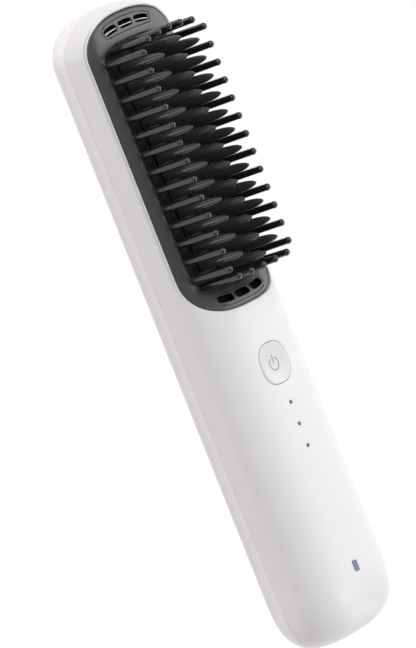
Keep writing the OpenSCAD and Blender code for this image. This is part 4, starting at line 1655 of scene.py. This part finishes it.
@dataclass
class Blades:
    """Pointed oval tines in three columns, each standing on its own rail.

    Attributes:
        foot: the blade's foot, as shares of the half length and heights over the base.
        waist: size and height of the first ring above the foot, both as shares.
        shares: shares of the height at which the rings above the waist lie.
        power: how late the blade starts to narrow.
        bend: how blunt its tip is.
    """

    first_x: float = 91.2
    pitch: float = 6.15
    rows: int = 13
    column: float = 9.2
    length: float = 3.5
    thickness: float = 2.2
    side_top: float = 41.8
    middle_top: float = 42.9
    rail_low: float = 22.6
    rail_high: float = 23.2
    rail_margin: float = 0.3
    rail_edge: float = 0.15
    sink: float = 0.05
    foot: tuple[Point2, ...] = ((0.0, -0.2), (1.12, -0.2), (1.12, 0.05), (1.04, 0.25))
    waist: Point2 = (0.995, 0.12)
    shares: tuple[float, ...] = (0.25, 0.38, 0.5, 0.6, 0.7, 0.78, 0.85, 0.9, 0.94, 0.97, 0.99,
                                 0.998)
    power: int = 5
    bend: float = 0.57
    segments: int = 20

    def blade(self, top: float) -> BMesh:
        """One blade at the origin: a rounded ogive, longer along the comb than across it.

        Args:
            top: height of its tip.

        Returns:
            The blade, in millimetres.
        """
        bm = bmesh.new()
        base = self.rail_high - self.sink
        height = top - base
        foot = [(size, base + rise) for size, rise in self.foot]
        waist = (self.waist[0], base + self.waist[1] * height)
        rings = [((1 - t**self.power) ** self.bend, base + t * height) for t in self.shares]
        turned(bm, [*foot, waist, *rings, (0.0, top)], self.segments)
        bmesh.ops.scale(bm, vec=(self.length / 2, self.thickness / 2, 1), verts=bm.verts)
        return bm

    def strip(self, name: str, y: float, count: int, offset: float, top: float,
              finish: bpy.types.Material, dull: bpy.types.Material) -> None:
        """Makes one column of blades on its dull rail, which is near black as painted shade.

        Args:
            name: the column's name.
            y: its place across the comb.
            count: number of blades.
            offset: how far it is set back from the first row.
            top: height of the tips.
            finish: the blades' finish.
            dull: the rail's finish, dull and near black as painted shade.
        """
        bm = bmesh.new()
        first = self.first_x - offset
        last = first - (count - 1) * self.pitch
        rail = self.thickness / 2 + self.rail_margin
        slab(bm, (last - self.length / 2, y - rail, self.rail_low),
             (first + self.length / 2, y + rail, self.rail_high), self.rail_edge)
        # The rail faces take the floor's near black: painted shade.
        for face in bm.faces:
            face.material_index = 1
        blade = self.blade(top)
        copies(bm, blade, [(first - i * self.pitch, y, 0.0) for i in range(count)])
        blade.free()
        finished(bm, f"{name}_blades", finish, "brush", [f"blade_strip_{name}"],
                 second_finish=dull)

    def build(self) -> None:
        """Makes the three columns."""
        # The blades' lighter grey is painted light on the tines' black plastic.
        finishes = BLADE_BLACK_PAINTED_LIGHT.dress("blade_black_painted_light"), FLOOR_PAINTED_SHADE.dress("rail_painted_shade")
        half = self.pitch / 2
        self.strip("left", self.column, self.rows - 1, half, self.side_top, *finishes)
        self.strip("middle", 0.0, self.rows, 0.0, self.middle_top, *finishes)
        self.strip("right", -self.column, self.rows - 1, half, self.side_top, *finishes)


# Button and signs


@dataclass
class PowerButton:
    """Dished square button with rounded corners and a grey power sign.

    The dish, rim and side are depths, and the flange is its width beyond the button.
    """

    x: float = -17.2
    half: float = 6.86
    fullness: float = 2.55
    top: float = 29.2
    crown: float = 74.0
    crown_blend: float = 0.12
    dish: float = 0.8
    rim: float = 0.4
    rim_steps: int = 5
    side: float = 1.4
    flange: float = 1.0
    flange_top: float = 26.29
    flange_height: float = 0.8
    stem: float = 2.2
    stem_low: float = 25.15
    top_rings: tuple[float, ...] = (0.9, 0.85, 0.78, 0.7, 0.6, 0.5, 0.4, 0.3, 0.2, 0.1, 0.0)
    weld: float = 1e-3
    ring: float = 2.12
    ring_gap: float = 32.0
    line: float = 2.95
    sign_shift: float = -0.22
    sign_lift: float = 0.02
    stroke: float = 0.44
    segments: int = 96

    def surface(self, x: float, y: float) -> float:
        """Height of the dished top over a point measured from the button's middle.

        Args:
            x: how far the point lies towards the head.
            y: how far it lies to the left.

        Returns:
            The height.
        """
        dish_r = self.half**2 / (2 * self.dish) + self.dish / 2
        crowned = self.top - y * y / (2 * self.crown)
        dished = self.top - self.dish + (x * x + y * y) / (2 * dish_r)
        return soft_min(crowned, dished, self.crown_blend)

    def rings(self) -> list[tuple[float, float, bool]]:
        """Rings from the stem's foot to the middle of the top.

        Returns:
            For each ring its half width, its height, and whether that is taken from the top.
        """
        outer = self.half + self.flange
        under = self.flange_top - self.flange_height
        low = [(0.0, self.stem_low), (self.stem, self.stem_low), (self.stem, under),
               (outer, under), (outer, self.flange_top), (self.half, self.flange_top)]
        turns = [math.pi / 2 * k / self.rim_steps for k in range(self.rim_steps + 1)]
        high = [(self.half, -self.side)]
        high += [(self.half - self.rim * (1 - math.cos(a)), -self.rim * (1 - math.sin(a)))
                 for a in turns]
        high += [(self.half * share, 0.0) for share in self.top_rings]
        return [(*ring, False) for ring in low] + [(*ring, True) for ring in high]

    def build(self) -> None:
        """Makes the button and its sign."""
        bm = bmesh.new()
        bmesh.ops.create_circle(bm, cap_ends=False, segments=self.segments, radius=1)
        turn = bm.verts.layers.float.new("turn")
        for vert in bm.verts:
            vert[turn] = math.atan2(vert.co.y, vert.co.x)
        loop, ring = list(bm.edges), set(bm.verts)
        for k, (size, z, follows) in enumerate(self.rings()):
            if k:
                ring, loop = next_ring(bm, loop)
            for vert in ring:
                a = vert[turn]
                px = size * signed_power(math.cos(a), 2 / self.fullness)
                py = size * signed_power(math.sin(a), 2 / self.fullness)
                base = self.surface(px, py) if follows else 0.0
                vert.co = (self.x + px, py, base + z)
        bmesh.ops.remove_doubles(bm, verts=bm.verts, dist=self.weld)
        finished(bm, "power_button_cap", BUTTON_WHITE.dress("button_white"), "power_button",
                 ["power_button"])
        self.sign()

    def sign(self) -> None:
        """Thin printed ring with a gap towards the head, and the line in the gap."""
        bm = bmesh.new()
        self.stripe(bm, self.round_ring, 48)
        self.stripe(bm, lambda t: (self.line * t, 0.0), 8)
        finished(bm, "power_sign", MARK_GREY.dress("mark_grey"), "power_button")

    def round_ring(self, t: float) -> Point2:
        """Point on the open ring of the sign.

        Args:
            t: share of the way round it.

        Returns:
            x and y from the sign's middle.
        """
        gap = math.radians(self.ring_gap)
        a = mix(gap, 2 * math.pi - gap, t)
        return self.ring * math.cos(a), self.ring * math.sin(a)

    def stripe(self, bm: BMesh, line: Callable[[float], Point2], steps: int) -> None:
        """Adds a stripe of the stroke's width along a line on the button's top.

        Args:
            bm: the mesh that takes it.
            line: gives the line's point a share of the way along it.
            steps: faces along it.
        """
        before = set(bm.verts)
        bmesh.ops.create_grid(bm, x_segments=steps, y_segments=2, size=1)
        for vert in [v for v in bm.verts if v not in before]:
            t, side = (vert.co.x + 1) / 2, vert.co.y * self.stroke / 2
            a, b = line(clamp(t - 0.01)), line(clamp(t + 0.01))
            away = Vector((b[0] - a[0], b[1] - a[1])).normalized()
            px, py = line(t)
            px, py = px - away.y * side + self.sign_shift, py + away.x * side
            vert.co = (self.x + px, py, self.surface(px, py) + self.sign_lift)


@dataclass
class BatterySign:
    """Frame of the battery sign in the handle, flush with the shell."""

    x: float = -87.6
    z: float = 29.1
    length: float = 3.6
    width: float = 2.3
    stroke: float = 0.42
    nub: float = 0.5
    depth: float = 0.3
    lift: float = 0.03
    edge: float = 0.03

    def build(self) -> None:
        """Makes the frame's four sides and the nub of its pole."""
        bm = bmesh.new()
        l, w, k = self.length / 2, self.width / 2, self.stroke
        end = l - self.nub
        bars = [((-l, -w), (end, k - w)), ((-l, w - k), (end, w)), ((-l, k - w), (k - l, w - k)),
                ((end - k, k - w), (end, w - k)), ((end, -w / 2), (l, w / 2))]
        for (x0, y0), (x1, y1) in bars:
            slab(bm, (self.x + x0, y0, self.z - self.depth),
                 (self.x + x1, y1, self.z + self.lift), self.edge)
        finished(bm, "battery_sign_frame", SIGN_SLATE.dress("sign_slate"), "brush")


# Parts carried over


@dataclass
class InnerParts:
    """Finishes of the CAD nodes that are shown as they are, by the nodes' names."""

    finishes: dict[tuple[str, ...], Finish] = field(default_factory=lambda: {
        ("heat_plate",): Plastic(tone(16, 16, 18), 0.5, 0.6, 0.004),
        ("comb_carrier",): Plastic(tone(52, 52, 56), 0.5, 0.5, 0.01),
        ("ceramic_heaters",): Plastic(tone(228, 224, 214), 0.55, 0.25, 0.012),
        ("insulating_sheet",): Plastic(tone(196, 150, 62), 0.25, 1.5, 0.004, coat=0.3),
        ("clamp_plate",): Metal(tone(190, 192, 195), 0.32),
        ("thermal_fuse",): Metal(tone(206, 200, 184), 0.35),
        ("comb_screws", "board_screws"): Metal(tone(168, 169, 172), 0.28, (1, 1, 0.2)),
        ("switch_body",): Plastic(tone(30, 30, 32), 0.45, 0.3, 0.004),
        ("switch_plunger",): Plastic(tone(120, 96, 70), 0.5, 0.3, 0.003),
        ("main_board", "charge_board"): Laminate(),
        ("board_chips",): Plastic(tone(26, 26, 29), 0.5, 0.15, 0.006),
        ("indicator_leds", "battery_led"): Plastic(tone(236, 232, 176), 0.2, 0.4, 0.001,
                                                   coat=0.6),
        ("light_guide",): Plastic(tone(92, 93, 98), 0.18, 0.8, 0.001, coat=0.5),
        ("battery_window",): Plastic(tone(132, 140, 186), 0.2, 0.8, 0.001, coat=0.5),
        ("cell_left", "cell_right"): Sleeve(tone(70, 150, 140)),
        ("front_cell_bracket", "rear_cell_bracket"): Plastic(tone(60, 60, 64), 0.5, 0.5, 0.01),
        ("cell_tabs",): Metal(tone(200, 198, 188), 0.25, (1, 0.1, 1)),
        ("battery_leads",): Plastic(tone(176, 36, 28), 0.4, 0.8, 0.01),
        ("charge_socket",): Metal(tone(200, 201, 204), 0.22),
        ("terminal_block",): Plastic(tone(226, 226, 220), 0.45, 0.4, 0.004),
        ("heater_leads",): Plastic(tone(226, 226, 224), 0.4, 0.5, 0.012),
        ("heat_shield",): Metal(tone(206, 206, 202), 0.3, (0.3, 0.3, 1)),
    })

    def build(self) -> None:
        """Gives each shown node its finish."""
        for names, finish in self.finishes.items():
            for name in names:
                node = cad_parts[name]
                node.data.materials.clear()
                node.data.materials.append(finish.dress(name))
                log.info("%s dressed as %s", name, type(finish).__name__)


# Studio


@dataclass(frozen=True)
class Lamp:
    """Rectangular lamp that looks at the brush.

    Attributes:
        name: the lamp's name.
        azimuth: its direction in plan, in degrees from +X towards +Y.
        elevation: its direction above the floor, in degrees.
        size: its width and height in metres.
        power: its power in watts.
        distance: how far it hangs from the brush, in metres.
    """

    name: str
    azimuth: float
    elevation: float
    size: Point2
    power: float
    distance: float = 1.8

    def build(self) -> None:
        """Hangs the lamp."""
        data = bpy.data.lights.new(self.name, "AREA")
        data.shape, data.size, data.size_y = "RECTANGLE", *self.size
        data.energy = self.power
        lamp = placed(self.name, data)
        plan, rise = math.radians(self.azimuth), math.radians(self.elevation)
        away = Vector((math.cos(plan) * math.cos(rise), math.sin(plan) * math.cos(rise),
                       math.sin(rise)))
        lamp.location = away * self.distance
        lamp.rotation_euler = away.to_track_quat("Z", "Y").to_euler()


@dataclass
class Studio:
    """Camera, white floor and soft light.

    Attributes:
        location: the camera's place, in millimetres.
        back: direction from the brush to the camera.
        up: the camera's upward direction.
        lens: focal length in millimetres, for the usual sensor.
        clip: nearest and farthest distance that the camera sees, in metres.
        floor_half: half the floor's side, in millimetres.
        floor_sink: how far the floor lies under the brush, in millimetres.
        floor_tone: colour that the floor gives back to the lamps' light.
        floor_seen: share of plain white where the camera sees the floor.
        floor_share: share of plain white where gloss mirrors the floor.
        sky: colours of the surroundings by height, dim and a little pink at the horizon.
        lamps: a small hard lamp beyond the head, and softer ones all round.
    """

    location: Point3 = (162.959, 1526.147, 1390.019)
    back: Point3 = (0.07834605, 0.73901183, 0.66912137)
    up: Point3 = (0.92645697, -0.30183485, 0.22488488)
    lens: float = 356.0
    clip: Point2 = (0.05, 50.0)
    floor_half: float = 6000.0
    floor_sink: float = 0.2
    floor_tone: Colour = (0.97, 0.97, 0.97)
    floor_seen: float = 0.98
    floor_share: float = 0.7
    sky: tuple[tuple[float, Colour], ...] = (
        (0.0, (0.44, 0.31, 0.33)), (0.25, (0.25, 0.22, 0.21)), (0.8, (0.32, 0.325, 0.325)))
    lamps: tuple[Lamp, ...] = (
        Lamp("key", 20.6, 42.7, (0.22, 0.22), 4.8),
        Lamp("head", 0.0, 25.0, (0.6, 0.6), 2.6),
        Lamp("side", 45.0, 40.0, (0.6, 0.6), 7.0),
        Lamp("back", -78.0, 47.0, (0.9, 0.9), 7.6),
        Lamp("back_low", -80.0, 18.0, (0.9, 0.5), 4.0),
        Lamp("handle", 180.0, 30.0, (0.8, 0.8), 1.6),
        Lamp("rim", -37.0, 22.0, (0.14, 1.2), 2.2),
        Lamp("strip", 222.0, 18.0, (0.16, 1.0), 5.0),
        Lamp("top", 228.0, 51.0, (0.3, 0.3), 6.2))

    def camera(self) -> None:
        """Sets the camera at the photograph's viewing angle."""
        data = bpy.data.cameras.new("camera")
        data.lens, data.sensor_width, data.sensor_fit = self.lens, 36.0, "AUTO"
        data.clip_start, data.clip_end = self.clip
        camera = placed("camera", data)
        back, up = Vector(self.back).normalized(), Vector(self.up)
        right = up.cross(back).normalized()
        up = back.cross(right)
        turn = Matrix((right, up, back)).transposed().to_4x4()
        camera.matrix_world = Matrix.Translation(Vector(self.location) * MM) @ turn
        bpy.context.scene.camera = camera

    def floor(self) -> None:
        """White floor that shows as plain white and still takes a soft shadow."""
        bm = bmesh.new()
        bmesh.ops.create_grid(bm, x_segments=4, y_segments=4, size=self.floor_half * MM)
        mesh = bpy.data.meshes.new("floor")
        bm.to_mesh(mesh)
        bm.free()
        plane = placed("floor", mesh)
        plane.location.z = -self.floor_sink * MM
        recipe = Recipe(bpy.data.materials.new("floor_white"))
        recipe.put("Base Color", self.floor_tone)
        recipe.put("Roughness", 0.9)
        recipe.put("Specular IOR Level", 0.1)
        lit = Wire(recipe, recipe.shader.outputs[0])
        glow = recipe.node("ShaderNodeEmission", {}, {"Color": (1, 1, 1), "Strength": 1.0})
        seen, glossy, through = (
            recipe.node("ShaderNodeLightPath", {}, {}, f"Is {kind} Ray")
            for kind in ("Camera", "Glossy", "Transmission"))
        share = seen * self.floor_seen + (glossy + through) * self.floor_share
        both = recipe.node("ShaderNodeMixShader", {}, {0: share, 1: lit, 2: glow})
        recipe.feed(recipe.tree.nodes["Material Output"].inputs["Surface"], both)
        mesh.materials.append(recipe.owner)

    def surroundings(self) -> None:
        """Sky whose colour follows the height of the view."""
        world = bpy.data.worlds.new("studio")
        recipe = Recipe(world, "Background", "Generated")
        height = recipe.node("ShaderNodeSeparateXYZ", {}, {0: recipe.spot}, "Z")
        recipe.put("Color", recipe.node("ShaderNodeValToRGB", {"stops": self.sky}, {0: height}))
        bpy.context.scene.world = world

    def build(self) -> None:
        """Sets the stage."""
        bpy.context.scene.view_settings.view_transform = "Standard"
        self.camera()
        self.floor()
        self.surroundings()
        for lamp in self.lamps:
            lamp.build()


def main() -> None:
    """Builds the brush and its studio."""
    logging.basicConfig(level=logging.INFO, format="%(message)s")
    Studio().build()
    for part in (Shells(), CombPanel(), GuardPins(), Blades(), PowerButton(), BatterySign(),
                 InnerParts()):
        log.info("building %s", type(part).__name__)
        part.build()


if __name__ == "__main__":
    main()
